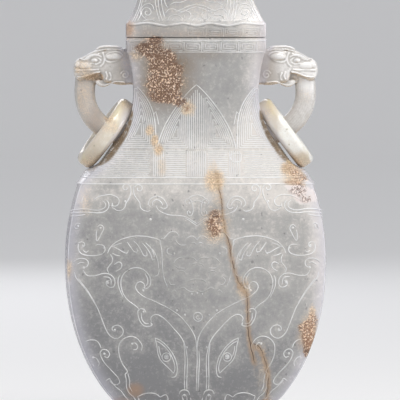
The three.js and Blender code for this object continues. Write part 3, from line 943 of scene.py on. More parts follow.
HORN = (
    ((108, 253), (109.6, 248.8), (112.5, 245), (116.5, 241.7), (121.7, 239), (128.8, 236.8),
     (136.6, 235.6), (145.5, 236), (152, 237.2), (160, 240.2), (159.2, 244)),
    ((110.8, 254), (112.8, 258), (112.2, 262), (109.6, 265.4), (107.6, 269), (109, 272.4)),
    ((116, 271), (121, 268), (122, 263.6), (119, 261.6), (114.6, 264)),
    ((113, 246), (118, 248.6), (124.4, 252.2), (127.4, 252.6), (128.4, 250)),
    ((112.6, 252.8), (116.6, 254.8), (120.6, 255.6)),
    ((127.4, 241.6), (130.6, 246.4), (134.4, 251.4), (137.4, 251), (136.8, 247.8)),
    ((133.6, 240.4), (138, 245), (141.4, 250.6), (144, 255.4), (147, 255), (146.4, 251)),
    ((142.4, 242.6), (147, 248), (150.6, 254), (152.6, 259.6), (155, 258.4)),
    ((145.6, 242.4), (150, 246.6), (153.2, 252), (154.4, 256.6)),
    ((152.3, 248.4), (155.6, 254.4), (157.6, 261), (158.4, 268)),
    ((159.6, 240.6), (161.6, 250), (162, 262), (162.6, 272), (164.6, 280), (167.4, 286.6)),
    ((159, 268.6), (158, 274), (154.6, 276)),
    ((112, 246.6), (116.6, 244.4), (122, 242.6)),
)
CLOUDS = (
    ((161, 238), (163.4, 238.4), (167, 234.2), (170, 231.6), (174, 231), (177, 233), (178.6, 236)),
    ((175.3, 239.7), (177.6, 243), (182, 245), (186, 244)),
    ((184.5, 239.6), (187.4, 237), (191.4, 235.6), (194.4, 237), (196.5, 239.4)),
    ((190, 243.4), (193.4, 242), (196.5, 244)),
    ((173.4, 262.6), (176, 259), (180, 257), (186, 257), (191.4, 257), (194.6, 258.6),
     (196.5, 261)),
    ((174.7, 265), (178, 267.6), (184.5, 267.6)),
    ((176.4, 272), (181, 270), (185, 272.4), (184, 276)),
    ((189, 266), (192.4, 263.4), (196.5, 262.6)),
    ((171, 246.6), (167, 249), (167.6, 253.4), (172, 254)),
    ((172, 276), (168.6, 279.4), (170.4, 284), (175, 284)),
    ((187, 282), (190.6, 279.4), (196.5, 278.4)),
    ((178.6, 289), (183, 286.8), (187, 289.6), (191.4, 291.4), (196.5, 289.6)),
    ((171, 292), (174, 289.6), (176.6, 292)),
)
VOLUTE = (
    ((140, 310), (135.6, 305.4), (128.4, 300.2), (124, 294.6), (121.8, 288.6), (121, 282),
     (122.2, 276.6), (125, 272.2), (129.4, 269), (134.6, 267.4), (140, 267.8), (145, 270.4),
     (149, 275), (150.6, 280), (149.8, 285), (146.6, 288.2), (143, 286.6)),
    ((123.6, 297.4), (121, 292), (118.6, 285.4), (118.4, 279), (119.8, 275)),
    ((145, 286.4), (147.6, 282.6), (147.2, 277.4), (144.6, 273)),
    ((147, 297.8), (142.4, 295.2), (138, 291.4), (135.6, 287), (137, 282.8), (140.6, 281.4),
     (143.8, 283.2), (144.6, 287), (143.2, 290.2)),
    ((147, 297.8), (155, 301.2), (165, 306), (172.4, 310.4), (178, 314.2), (183.3, 319.5),
     (188, 325.3), (192, 331), (194.6, 336.6), (195.8, 342), (196, 347)),
    ((146, 312.2), (144.6, 309.4), (141, 308.4), (138, 310.6), (138.4, 316), (140.4, 321.4),
     (144, 325.4), (149, 326), (152.2, 324.2), (150.4, 321.6)),
    ((141.4, 312.6), (141.8, 318.4), (144.8, 322.8), (148.6, 323.2)),
    ((151.6, 321.4), (150.6, 318), (152.8, 315), (157, 314.2), (162, 316.6), (168, 322),
     (174, 328.7), (179, 334.4), (182.6, 340), (184.8, 346), (186.2, 352), (187, 359),
     (187, 368), (186.6, 378), (186.8, 389.6)),
    ((183.4, 343.4), (184.4, 352), (184.8, 362), (184.4, 378), (184.6, 389.6)),
    ((179, 394.4), (180.4, 391.4), (184, 390), (188, 391.4), (189.6, 395)),
    ((182, 396.6), (184.6, 394.6), (186.6, 397)),
)
NOSE = (
    curl(197.4, 316.6, 4.6, 200, 1.0, 0.9),
    curl(197.6, 316.8, 2.4, 20, 0.8, 0.5),
    ((196.5, 346), (196.9, 360), (196.5, 374), (196.5, 391)),
    ((198.6, 351), (199, 362), (198.4, 376), (198.2, 391)),
)
# A chipped place whitened round its edge, on the front's shoulder
NICK = ((229.6, 156), (231, 154), (233.6, 153.6), (235.4, 152.4), (237.4, 153.8), (240.2, 153),
        (240.8, 156.4), (240.2, 160.8), (237, 161.2), (234.4, 162), (231.6, 160.4), (229.6, 156))
EYE = (
    ((154.8, 337.6), (160, 340), (165.4, 344.4), (169.8, 349.4), (173.4, 355), (175.8, 361),
     (177.2, 368.6), (175.6, 376), (171.6, 377.4)),
    ((156.2, 340.6), (161, 343.4), (166, 348), (170.4, 354), (173.4, 361), (174.8, 368),
     (173.6, 373)),
    ((155, 338), (156.6, 345), (157.6, 352), (159.6, 358.4), (163.4, 363.2), (168, 367.6),
     (173.6, 373.2)),
    ((158.6, 345.6), (159.8, 352.6), (161.8, 357.4)),
    curl(166.2, 357, 4.3, 20, 1.0, 1.0),
    curl(166.4, 356.6, 2.2, 20, 1.0, 0.8),
)
JAWS = (
    ((75, 272), (76.6, 277.6), (81, 283), (85.4, 288.4), (89.4, 294), (93.6, 300.6),
     (97.6, 307.5), (100.5, 314.4), (102.8, 320.7), (105.2, 326.8), (107.6, 332), (111, 336.2),
     (115.6, 338.4), (119.6, 337.2), (122.8, 333.8), (123.2, 329.4), (120.4, 326),
     (116.2, 325), (112.8, 327), (112.6, 330), (115.6, 331)),
    ((78.6, 278.4), (83.4, 284.4), (87.6, 290), (91.6, 296.4), (95.6, 303)),
    ((141.4, 350.4), (142, 345.4), (139.5, 340.8), (135.5, 337.3), (130.6, 336.2), (125.6, 337.6),
     (121.4, 341), (119.2, 345), (118.8, 351), (120.2, 358), (123, 364.4), (127.4, 371.4),
     (125.4, 374.4), (126.4, 380), (126.8, 387.7), (129.3, 393.4), (133.4, 397)),
    ((128, 373.6), (129.6, 380), (129.8, 387), (132.4, 392)),
    ((132, 343.4), (135, 342.8), (137.6, 345.8), (136.6, 349), (133.4, 349.6)),
    ((86, 341.4), (91, 339.8), (96, 340.4), (99.4, 343.4), (101.4, 348)),
    ((109.6, 380.6), (113, 384), (117, 385), (119.8, 382.6), (118.4, 378.2), (114.6, 373.6),
     (109.6, 368.4), (104.8, 363), (101.4, 357), (100.6, 352.4), (103.6, 349.4), (107.6, 350.4),
     (109.8, 354), (108, 357.6), (104.6, 356.6)),
    ((106, 381.4), (109.4, 379), (111.6, 381.6), (115.4, 386.6), (121, 391)),
    ((92.6, 357.4), (96, 358), (99.4, 363), (98.4, 366.6)),
    ((92.6, 364), (94.6, 366.6)),
    ((137.7, 397), (144.7, 393.9), (151.8, 393.3), (156.7, 394.6), (160.4, 397.4)),
)
# Below the photographed edge the same bands run on to the foot
UNDER = (
    ((138, 397), (141, 404), (147, 409), (155, 411), (163, 408), (168, 401), (166, 395),
     (160.4, 397.4)),
    ((145, 400), (151, 404), (158, 403.6), (161, 400)),
    ((133.4, 397), (139, 405), (147, 412), (157, 415), (169, 414), (178, 409), (183, 402),
     (182, 396.6)),
    ((186.8, 397), (187.6, 404), (191, 409), (196.5, 411)),
    ((190.4, 398), (192, 403), (196.5, 405)),
    ((121, 391), (127, 399), (134, 406)),
)
BEADS = (
    (125.6, 201, 1.1), (150.6, 219, 1.3), (78.6, 226, 1.2), (101, 227.6, 1.2), (84.2, 267.4, 1.3),
    (108, 282.4, 1.5), (143.2, 290, 1.3), (126.6, 253, 1.0), (136.4, 252, 0.9), (176.6, 310, 1.2),
    (184.5, 314.4, 1.1), (191.4, 293.6, 1.2), (196.5, 292.6, 1.2), (115, 329.6, 1.2),
    (132.4, 343.6, 1.3), (104.6, 353.8, 1.3), (93.4, 357.6, 1.3), (143.6, 311.4, 1.1),
    (151.4, 323.6, 1.0), (166.3, 356.8, 1.5), (152.6, 259.4, 1.0), (112.6, 205.4, 1.1),
    (189, 202.6, 1.1), (189.4, 212, 1.1), (83.4, 245.4, 1.1), (174, 253, 1.1), (104.4, 247.6, 0.9),
    (186.6, 347, 1.0), (186.6, 376.4, 1.0), (184.6, 395.6, 1.1),
)

# Leaves of the neck, in drawing steps: half-width from the axis at each level down
MIDDLE_LEAF = through([(84, 0), (88, 4.6), (96, 12), (106, 19.8), (117, 27), (127, 32.4),
                       (138, 36.6), (149, 39)])
CORNER_LEAF = through([(84, 60.6), (88, 57), (96, 50.6), (104, 46), (113, 42.8), (122, 41.2),
                       (132, 40.6), (149, 40.4)])
LEAF_TOP = 84
LEAF_FOOT = 148.6
LEAF_STEM = 8.6
# Steps between fine lines, and between the squared spirals of a key fret
FRET_STEP = 1.95
FRET_PITCH = 18.4
# The first upright line beside the axis
FIRST_LINE = 0.98
CRACK = 0.28 * MM


def flow(points, step=THREAD_STEP):
    """A smooth line through given points"""
    spots = np.array(points, dtype=float)
    ends = np.vstack([2 * spots[0] - spots[1], spots, 2 * spots[-1] - spots[-2]])
    line = []
    for a, b, c, d in zip(ends, ends[1:], ends[2:], ends[3:]):
        count = max(int(np.linalg.norm(c - b) / step + 0.5), 1)
        for i in range(count):
            t = i / count
            line.append(0.5 * (2 * b + (c - a) * t + (2 * a - 5 * b + 4 * c - d) * t ** 2
                               + (3 * b - a - 3 * c + d) * t ** 3))
    line.append(spots[-1])
    return line


def mirrored(strokes):
    return [[(2 * AXIS - x, y) for x, y in stroke] for stroke in strokes]


def from_drawing(x, y):
    """A relief point of the drawing as a distance from the axis and a height"""
    x, y = lerp(x, AXIS, DRAWN_IN / 2), lerp(y, EYE_LEVEL, DRAWN_IN)
    return (x - AXIS) * DRAWING_STEP, (DRAWING_FOOT - y) * DRAWING_STEP


def to_drawing(x, z):
    """The drawing's point that lies on a place of the broad face"""
    x, y = x / DRAWING_STEP, DRAWING_FOOT - (z - DRAWING_DROP * front_half_depth(z)) / DRAWING_STEP
    return AXIS + x / (1 - DRAWN_IN / 2), EYE_LEVEL + (y - EYE_LEVEL) / (1 - DRAWN_IN)


def on_front(x, y, proud=0.0):
    """The place on the broad face under a point of the drawing, which looks down on it a little"""
    x, z = from_drawing(x, y)
    return front_point(x, z + DRAWING_DROP * front_half_depth(z), proud)


def laid(points, place_on=on_front):
    """Points of the drawing as places on a face"""
    return [place_on(x, y) for x, y in points]


def new_curve(name, **settings):
    curve = bpy.data.curves.new(name, "CURVE")
    for key, value in settings.items():
        setattr(curve, key, value)
    return curve


def smooth_spline(curve, places):
    spline = curve.splines.new("BEZIER")
    spline.bezier_points.add(len(places) - 1)
    for point, place in zip(spline.bezier_points, places):
        point.co = place
        point.handle_left_type = point.handle_right_type = "AUTO"
    return spline


def meshed(name, curve):
    """The curve as a mesh object"""
    piece = bpy.data.objects.new(name, curve)
    bpy.context.scene.collection.objects.link(piece)
    choose(piece)
    bpy.ops.object.convert(target="MESH")
    piece = bpy.context.object
    piece.name = piece.data.name = name
    return piece


def threads(name, lines, radius, sides=1, closed=False, tapered=True):
    """Raised threads along lines of places, as one mesh"""
    curve = new_curve(name, dimensions="3D", bevel_depth=radius, bevel_resolution=sides,
                      use_fill_caps=not closed)
    for line in lines:
        spline = curve.splines.new("POLY")
        spline.points.add(len(line) - 1)
        for i, (point, place) in enumerate(zip(spline.points, line)):
            point.co = (*place, 1)
            if tapered and not closed:
                point.radius = min(1.0, 0.55 + 0.2 * min(i, len(line) - 1 - i))
        spline.use_cyclic_u = closed
    return polish(weld(meshed(name, curve)))


def fine_lines(name, strokes, place_on=on_front):
    """The finest raised lines of the drawing, which keep their width to the ends"""
    width = bpy.context.scene.vase_sizes.fine_thread
    return threads(name, [laid(straight(stroke), place_on) for stroke in strokes], width, sides=0,
                   tapered=False)


def beads(name, spots):
    """Small flattened beads set on the broad face"""
    made = []
    flat = 0.55
    for x, y, size in spots:
        clean_slate()
        bpy.ops.mesh.primitive_uv_sphere_add(segments=12, ring_count=8, radius=1.0,
                                             location=on_front(x, y))
        bead = bpy.context.object
        bead.scale = (size * DRAWING_STEP, flat * size * DRAWING_STEP, size * DRAWING_STEP)
        made.append(bead)
    return polish(settle(join(made, name)))


def front_and_back(piece, name, material, body, slot):
    """Dress a piece of the front's relief and repeat it on the back"""
    back = copy_of(piece, "back_" + name, HALF_TURN)
    piece.name = piece.data.name = "front_" + name
    for face in (piece, back):
        dress(face, stone_material(material), body, slot)


# Operators

class VASE_OT_body(bpy.types.Operator):
    """Build the hollow vase: foot, body, shoulder, neck and mouth"""

    bl_idname = "vase.body"
    bl_label = "Vase body"

    def execute(self, context):
        rounding = context.scene.vase_sizes.corner
        edge, inner = 0.6 * MM, 6 * MM

        # The hollow, from the middle of its floor up to the mouth
        floor = FOOT_HEIGHT + FLOOR
        low = inner_level(floor)
        levels = [drawn_to(low, floor, share, inner) for share in (0.0, 0.35, 0.7, 0.9)]
        levels += [inner_level(z) for z in np.linspace(floor + 1.5 * MM, MOUTH_TOP - edge, 20)]
        top = inner_level(MOUTH_TOP)
        lip = outer_level(MOUTH_TOP, rounding)
        levels.append(Level(MOUTH_TOP, top.corner_x + edge, top.corner_y + edge, 0, top.bow_y,
                            inner))
        levels.append(outer_level(MOUTH_TOP, rounding, -edge))
        levels.append(Level(MOUTH_TOP - 0.3 * MM, lip.corner_x - 0.1 * MM, lip.corner_y - 0.1 * MM,
                            lip.bow_x, lip.bow_y, rounding))

        # The outside, down to the foot, with crisp steps where the panel starts and ends
        hair = 0.03 * MM
        steps = set(np.linspace(hair, MOUTH_TOP - 0.8 * MM, 190))
        steps |= {FOOT_HEIGHT - hair, FOOT_HEIGHT + hair, PANEL_TOP - 0.5 * MM, PANEL_TOP - hair,
                  PANEL_TOP + hair, PANEL_TOP + 0.4 * MM}
        levels += [outer_level(z, rounding) for z in sorted(steps, reverse=True)]
        levels.append(outer_level(0, rounding, -0.3 * MM))

        # The recess under the foot
        under = outer_level(FOOT_RECESS, rounding)
        for z, inset in ((0, FOOT_RIM), (FOOT_RECESS, FOOT_RIM + 2.4 * MM)):
            levels.append(Level(z, under.corner_x - inset, under.corner_y - inset, under.bow_x,
                                under.bow_y, rounding))
        levels += [drawn_to(under, FOOT_RECESS, share, 3 * MM) for share in (0.5, 0.0)]
        body = soften(fit_grid("vase_stone", [level.outline(80, 12, 6) for level in levels]))
        dress(body, stone_material("vase_jade"), "vase", "vase_stone", "vase")
        light_by_relief(body)
        return {"FINISHED"}


def handle_point(out, up, y=0.0):
    return Vector((NECK_HALF[0] + out * MM, y * MM, NECK_Z + up * MM))


def slab(name, outline, depth, edge):
    """A flat curve in the handle's plane, given depth and rounded edges, as a mesh"""
    curve = new_curve(name, dimensions="2D", fill_mode="BOTH", resolution_u=6,
                      extrude=(depth / 2 - edge) * MM, bevel_depth=edge * MM, bevel_resolution=3,
                      offset=-edge * MM)
    places = [handle_point(out, up) for out, up in outline]
    smooth_spline(curve, [(place.x, place.z, 0) for place in places]).use_cyclic_u = True
    piece = meshed(name, curve)
    piece.rotation_euler = (math.pi / 2, 0, 0)
    return weld(settle(piece), 0.01 * MM)


def taper_snout(piece):
    for vertex in piece.data.vertices:
        vertex.co.y *= left_at(vertex.co.x - NECK_HALF[0], MM)
    return piece


def rod(name, places, radius, taper=None, sides=3):
    """A round rod through places, as a mesh with closed ends"""
    curve = new_curve(name, dimensions="3D", bevel_depth=radius, bevel_resolution=sides,
                      use_fill_caps=True, resolution_u=6)
    spline = smooth_spline(curve, places)
    for point, share in zip(spline.bezier_points, taper or ()):
        point.radius = share
    return meshed(name, curve)


def ball(name, place, sizes):
    clean_slate()
    bpy.ops.mesh.primitive_uv_sphere_add(segments=24, ring_count=14, radius=1.0, location=place)
    piece = bpy.context.object
    piece.name = name
    piece.scale = tuple(size * MM for size in sizes)
    return settle(piece)


# Outlines of the head and the loop's middle line, in millimetres out from the neck and up
SKULL = (
    (-5, 4.4), (2, 4.2), (7, 3.9), (12, 4.8), (16.4, 6.0), (17.6, 8.2), (18.4, 10.2), (22.4, 9.4),
    (26.4, 7.7), (30.2, 6.6), (32.3, 8.2), (33.4, 12.4), (32.6, 16.4), (31.0, 18.2), (28.0, 19.4),
    (24.2, 21.6), (20.8, 23.2), (14, 23.8), (4, 24.2), (-5, 23.6),
)
JAW = (
    (4, 8), (3, 4.6), (6.6, 4.0), (11.6, 4.8), (14.4, 3.4), (16.6, 2.8), (19.4, 3.6), (21.0, 5.8),
    (19.6, 7.0), (18.0, 6.8), (16.4, 8.0), (12, 9.0),
)
CREST = (
    (3.8, 22.6), (5.6, 24.2), (8.2, 25.6), (12, 26.0), (17.2, 25.8), (19.8, 24.8), (20.8, 23.4),
    (14, 22.4),
)
TONGUE = ((13.6, 5.4), (21.4, 5.0), (24.4, 9.4), (15, 11.2))
LOOP = ((26.0, 12.0), (26.8, 4.5), (27.0, -1.5), (26.1, -7.0), (23.8, -12.2), (20.1, -16.8),
        (15.5, -20.4), (11.0, -22.6), (6.2, -23.6), (0.4, -23.8))
# Half width and half depth of the loop's section
LOOP_HALF = (5.8, 4.7)
HEAD_DEPTH = 17.0
# How much the snout thins, and between which distances out from the neck
SNOUT_TAPER = 0.24
SNOUT = (12, 33)


def left_at(out, unit=1.0):
    """The share of the head's thickness that is left at a distance out from the neck"""
    return 1 - SNOUT_TAPER * smooth(out, SNOUT[0] * unit, SNOUT[1] * unit)


def loop_rod():
    """The loop that the beast bites: an oval rod from the mouth back into the neck's root"""
    places = [handle_point(out, up) for out, up in LOOP]
    loop = rod("loop", places, LOOP_HALF[0] * MM, sides=12)
    for vertex in loop.data.vertices:
        vertex.co.y *= LOOP_HALF[1] / LOOP_HALF[0]
    return loop


def head_lines():
    """Raised lines on one flank of the head: (points, half width), out from the neck and up"""
    lines = [
        ([(32.4, 12.0), (27.0, 12.3), (22.0, 12.3), (19.2, 12.5)], 0.42),
        ([(31.2, 8.3), (27.4, 8.5), (23.4, 9.9), (20.4, 10.9), (18.6, 10.9)], 0.42),
        ([(17.0, 22.0), (16.2, 19.5), (16.5, 16.2), (18.2, 14.2)], 0.4),
        ([(20.6, 6.3), (19.0, 5.0), (17.0, 3.8), (14.0, 4.4), (10.0, 5.6), (4.6, 5.3)], 0.36),
        ([(19.8, 22.8), (16.0, 23.7), (10.0, 23.9), (5.2, 23.0)], 0.34),
        ([(15.6, 17.8), (14.9, 20.6), (11.6, 22.2), (7.6, 21.9), (5.8, 20.4)], 0.4),
        ([(5.8, 20.4), (7.6, 18.4), (11.0, 17.0), (14.0, 16.8), (15.6, 17.8)], 0.34),
        ([(30.2, 18.6), (26.0, 18.2), (22.6, 19.6), (19.0, 21.4)], 0.36),
        ([(25.4, 15.0), (23.4, 15.9), (20.4, 15.6), (18.4, 16.6)], 0.34),
        ([(25.0, 18.8), (22.4, 19.4), (19.4, 18.8), (18.0, 17.6)], 0.34),
        ([(15.2, 11.2), (14.6, 9.0), (15.2, 6.8)], 0.4),
        ([(13.2, 10.8), (12.4, 8.4), (13.0, 6.4)], 0.36),
    ]
    for out, up, radius, turns, start in ((4.6, 9.6, 2.4, 1.4, 0.3), (12.2, 19.6, 1.1, 1.0, 0.0),
                                          (29.6, 14.9, 1.3, 1.1, 2.6)):
        points = []
        for i in range(15):
            t = i / 14
            angle = start + 2 * math.pi * turns * t
            reach = radius * (1 - 0.8 * t)
            points.append((out + reach * math.cos(angle), up + reach * math.sin(angle)))
        lines.append((points, 0.34))
    return lines


def on_flank(side, out, up, proud, beside=None):
    """A place on a flank of the head, or as far to the side as the flank is beside it"""
    half = HEAD_DEPTH / 2 * left_at(out if beside is None else beside)
    return handle_point(out, up, side * (half + proud))


class VASE_OT_handles(bpy.types.Operator):
    """Carve the two beast-head handles and the loops they bite"""

    bl_idname = "vase.handles"
    bl_label = "Beast-head handles"

    def execute(self, context):
        grain = context.scene.vase_sizes.carving_grain
        skull = slab("skull", SKULL, HEAD_DEPTH, 2.4)
        apply_modifier(skull, "REMESH", mode="VOXEL", voxel_size=2 * grain)
        parts = [taper_snout(skull)]
        for name, outline, depth, edge in (("jaw", JAW, 12.5, 1.3), ("crest", CREST, 9.5, 0.8)):
            parts.append(taper_snout(slab(name, outline, depth, edge)))
        parts.append(slab("tongue", TONGUE, 7.0, 1.0))
        parts.append(loop_rod())
        for side in (-1, 1):
            parts.append(ball("eye", on_flank(side, 21.4, 17.6, -0.6, 21.0), (2.1, 1.5, 1.5)))
            parts.append(ball("pupil", on_flank(side, 21.6, 17.6, 0.6, 21.0), (0.8, 0.6, 0.8)))
            parts.append(ball("ear", on_flank(side, 10.8, 19.7, -0.7, 11), (5.0, 2.0, 2.4)))
            brow = [on_flank(side, out, up, -0.2)
                    for out, up in ((27.5, 17.6), (24.2, 19.8), (20.4, 20.6), (17.6, 19.6))]
            parts.append(rod("brow", brow, 0.85 * MM, (0.5, 1, 1, 0.5)))
            parts.append(ball("cheek", on_flank(side, 26.0, 14.6, -1.1), (5.6, 1.9, 2.5)))
            parts.append(ball("nostril", on_flank(side, 30.6, 15.0, -0.7), (1.9, 1.5, 1.8)))
            for points, width in head_lines():
                route = [on_flank(side, out, up, 0.02) for out, up in points]
                parts.append(rod("line", route, width * MM))
        handle = join(parts, "right_handle")
        apply_modifier(handle, "REMESH", mode="VOXEL", voxel_size=grain)
        apply_modifier(handle, "SMOOTH", factor=0.5, iterations=2)
        left = copy_of(polish(handle), "left_handle", HALF_TURN)
        # The heads' raised parts are painted paler and their hollows darker, and the right head
        # paler than the left, where more light falls
        for piece in (handle, left):
            dress(piece, stone_material("head_jade"), "vase", "vase_stone", wear_and_light=5.0,
                  levels=(0.72, 0.8))
        return {"FINISHED"}


def mask_strokes():
    """Every stroke of the mask relief on a broad face"""
    half = [*BORDER, *FLANK, *HORN, *CLOUDS, *VOLUTE, *EYE, *JAWS, *UNDER]
    return half + mirrored(half) + [*NOSE, NICK]


def light_by_relief(piece):
    """Write how close each vertex is to the mask's threads, where the ground is painted paler as
    light on the raised bands
    """
    points = [point for stroke in mask_strokes() for point in flow(stroke)]
    tree = KDTree(len(points))
    for index, (x, y) in enumerate(points):
        tree.insert((x, y, 0), index)
    tree.balance()
    layer = piece.data.attributes.new("halo", "FLOAT", "POINT")
    for vertex, value in zip(piece.data.vertices, layer.data):
        across = -vertex.co.x if vertex.co.y > 0 else vertex.co.x
        gap = tree.find((*to_drawing(across, vertex.co.z), 0))[2]
        value.value = math.exp(-(gap / HALO_REACH) ** 2.5)


class VASE_OT_face_relief(bpy.types.Operator):
    """Raise the mask, horns, volutes and border on both broad faces"""

    bl_idname = "vase.face_relief"
    bl_label = "Mask relief"

    def execute(self, context):
        sizes = context.scene.vase_sizes
        piece = threads("mask", [laid(flow(stroke)) for stroke in mask_strokes()], sizes.thread)
        spots = list(BEADS) + [(2 * AXIS - x, y, size) for x, y, size in BEADS if x != AXIS]
        dots = beads("mask_beads", spots)
        front_and_back(join([piece, dots], "mask"), "mask", "thread_jade", "vase", "vase_stone")

        # A crack along each vein, a little unsteady
        shake = random.Random(7)
        cracks = []
        for vein in VEINS:
            route = flow([point[:2] for point in vein], 1.6)
            cracks.append([on_front(x + shake.uniform(-0.35, 0.35), y, -0.4 * CRACK)
                           for x, y in route])
        crack = threads("crack", cracks, CRACK, sides=0)
        dress(crack, stone_material("crack_jade"), "vase", "vase_stone")

        # A bright line down each upright corner: a raised thread in the threads' paler stone, which
        # paints the corner's highlight
        heights = np.linspace(FOOT_HEIGHT + MM, PANEL_TOP - 0.4 * MM, 90)
        arris = [[corner_spot(z, side) for z in heights] for side in (-1, 1)]
        front_and_back(threads("arris", arris, sizes.thread), "arris", "thread_jade", "vase",
                       "vase_stone")
        return {"FINISHED"}


def corner_spot(z, side):
    """The middle of the vase's rounded front corner at height z"""
    x, y = outer_level(z, bpy.context.scene.vase_sizes.corner).corner(0.5)
    return Vector((side * x, -y, z))


def corner_line(y):
    """Steps from the axis to the vase's upright corner at a level down"""
    return corner_half_width((DRAWING_FOOT - y) * DRAWING_STEP) / DRAWING_STEP


def nested(near, far, foot, side, count):
    """Outlines one inside the other between two lines that meet at a point and a level foot"""
    lines = []
    for n in range(count):
        inset = FRET_STEP * n
        low = foot - inset
        rows = [y for y in np.linspace(low, LEAF_TOP, 34) if far(y) - near(y) > 2 * inset + 0.6]
        if len(rows) < 4:
            break
        left = [(AXIS + side * (near(y) + inset), y) for y in rows]
        right = [(AXIS + side * (far(y) - inset), y) for y in rows]
        lines.append(left + right[::-1] + left[:1])
    return lines


def neck_strokes():
    """Fine lines of the neck's leaves, in drawing steps"""
    lines = []
    foot = LEAF_FOOT - 1.4
    for side in (-1, 1):
        lines += nested(lambda y: LEAF_STEM, lambda y: MIDDLE_LEAF(y) - 2.6, foot, side, 9)
        lines += nested(lambda y: CORNER_LEAF(y) + 2.2, lambda y: corner_line(y) - 0.6, foot,
                        side, 9)
        for n in range(4):
            x = FIRST_LINE + FRET_STEP * n
            lines.append([(AXIS + side * x, LEAF_TOP + 4 + 1.4 * x), (AXIS + side * x, LEAF_FOOT)])
        lines.append([(AXIS + side * x, y) for x, y in ((37.4, 124), (40.2, 111), (42.4, 113.6))])
    return lines


def straight(points, step=2.4):
    """Points along straight stretches, so that a line follows a curved face"""
    line = []
    for (x0, y0), (x1, y1) in zip(points, points[1:]):
        count = max(int(math.hypot(x1 - x0, y1 - y0) / step + 0.5), 1)
        line += [(lerp(x0, x1, i / count), lerp(y0, y1, i / count)) for i in range(count)]
    return line + [points[-1]]


def key_fret(x, y, wide, high, way):
    """One squared spiral of the key fret, its left edge at x and its top at y"""
    route = ((0, 1), (0, 0), (1, 0), (1, 0.8), (0.13, 0.8), (0.13, 0.2), (0.87, 0.2), (0.87, 0.6),
             (0.26, 0.6), (0.26, 0.4), (0.74, 0.4))
    return [(x + wide * (u if way > 0 else 1 - u), y + high * v) for u, v in route]


# The shoulder's upright and level lines, in steps from the axis, and where its side bands start
FRET_BLOCKS = ((-9, 9), (33, 43))
FRET_BAND = (11, 31)
SIDE_START = 45
FRET_TOP = 150.6
FRET_ROWS = [FRET_TOP + FRET_STEP * n for n in range(14)]


def shoulder_frets():
    """Level lines of the shoulder, broken by blocks of upright ones"""
    lines = []
    for side in (-1, 1):
        for start, end in FRET_BLOCKS:
            for x in np.arange(max(start, FIRST_LINE), end + 0.1, FRET_STEP):
                lines.append([(AXIS + side * x, y) for y in (FRET_TOP, FRET_ROWS[-1])])
        for y in FRET_ROWS:
            lines.append([(AXIS + side * x, y) for x in FRET_BAND])
    return lines


def side_bands(rounding):
    """The shoulder's level lines where they run round the narrow sides"""
    lines = []
    for y in FRET_ROWS:
        level = outer_level((DRAWING_FOOT - y) * DRAWING_STEP, rounding)
        loop = [Vector(point) for point in level.outline(30, 6, 4)]
        right = [point for point in loop if point.x > SIDE_START * DRAWING_STEP]
        turn = max(range(len(right)), key=lambda i: (right[i] - right[i - 1]).length)
        right = right[turn:] + right[:turn]
        lines += [right, [Vector((-p.x, p.y, p.z)) for p in right]]
    return lines


class VASE_OT_neck_relief(bpy.types.Operator):
    """Raise the banana leaves, the shoulder's fret lines and the mouth's key fret"""

    bl_idname = "vase.neck_relief"
    bl_label = "Neck and shoulder lines"

    def execute(self, context):
        sizes = context.scene.vase_sizes
        frets = [key_fret(AXIS + FRET_PITCH * (n - 0.65), 41.4, 0.92 * FRET_PITCH, 10.6,
                          1 if n < 0 else -1) for n in range(-3, 4)]
        leaves = fine_lines("leaves", neck_strokes() + shoulder_frets() + frets)
        edges = []
        for leaf, tip in ((MIDDLE_LEAF, LEAF_TOP), (CORNER_LEAF, LEAF_TOP + 2)):
            for side in (-1, 1):
                stroke = [(AXIS + side * leaf(y), y) for y in np.linspace(tip, LEAF_FOOT, 20)]
                edges.append(laid(flow(stroke)))
        edge = threads("leaf_edges", edges, sizes.thread)
        front_and_back(join([leaves, edge], "leaves"), "leaves", "leaf_jade", "vase", "vase_stone")

        rounding = sizes.corner
        bands = threads("bands", side_bands(rounding), sizes.fine_thread, sides=0, tapered=False)
        heavy = [outer_level(z, rounding) for z in
                 (PANEL_TOP - 0.3 * MM, 148.8 * MM, BAND_Z + 0.5 * MM, MOUTH_TOP - 1.4 * MM)]
        ridges = threads("ridges", [level.outline(24, 6, 4) for level in heavy], sizes.thread,
                         closed=True)
        dress(join([bands, ridges], "shoulder_bands"), stone_material("leaf_jade"), "vase",
              "vase_stone")
        return {"FINISHED"}


# Outer radius of the loose rings, and thickness and width of their band
RING_OUTER = 22.05 * MM
RING_THICK = 7.0 * MM
RING_WIDE = 9.8 * MM
# How far a ring's plane leans from upright, and its turn about the slope
RING_LEAN = math.radians(36.5)
RING_SWAY = math.radians(3)


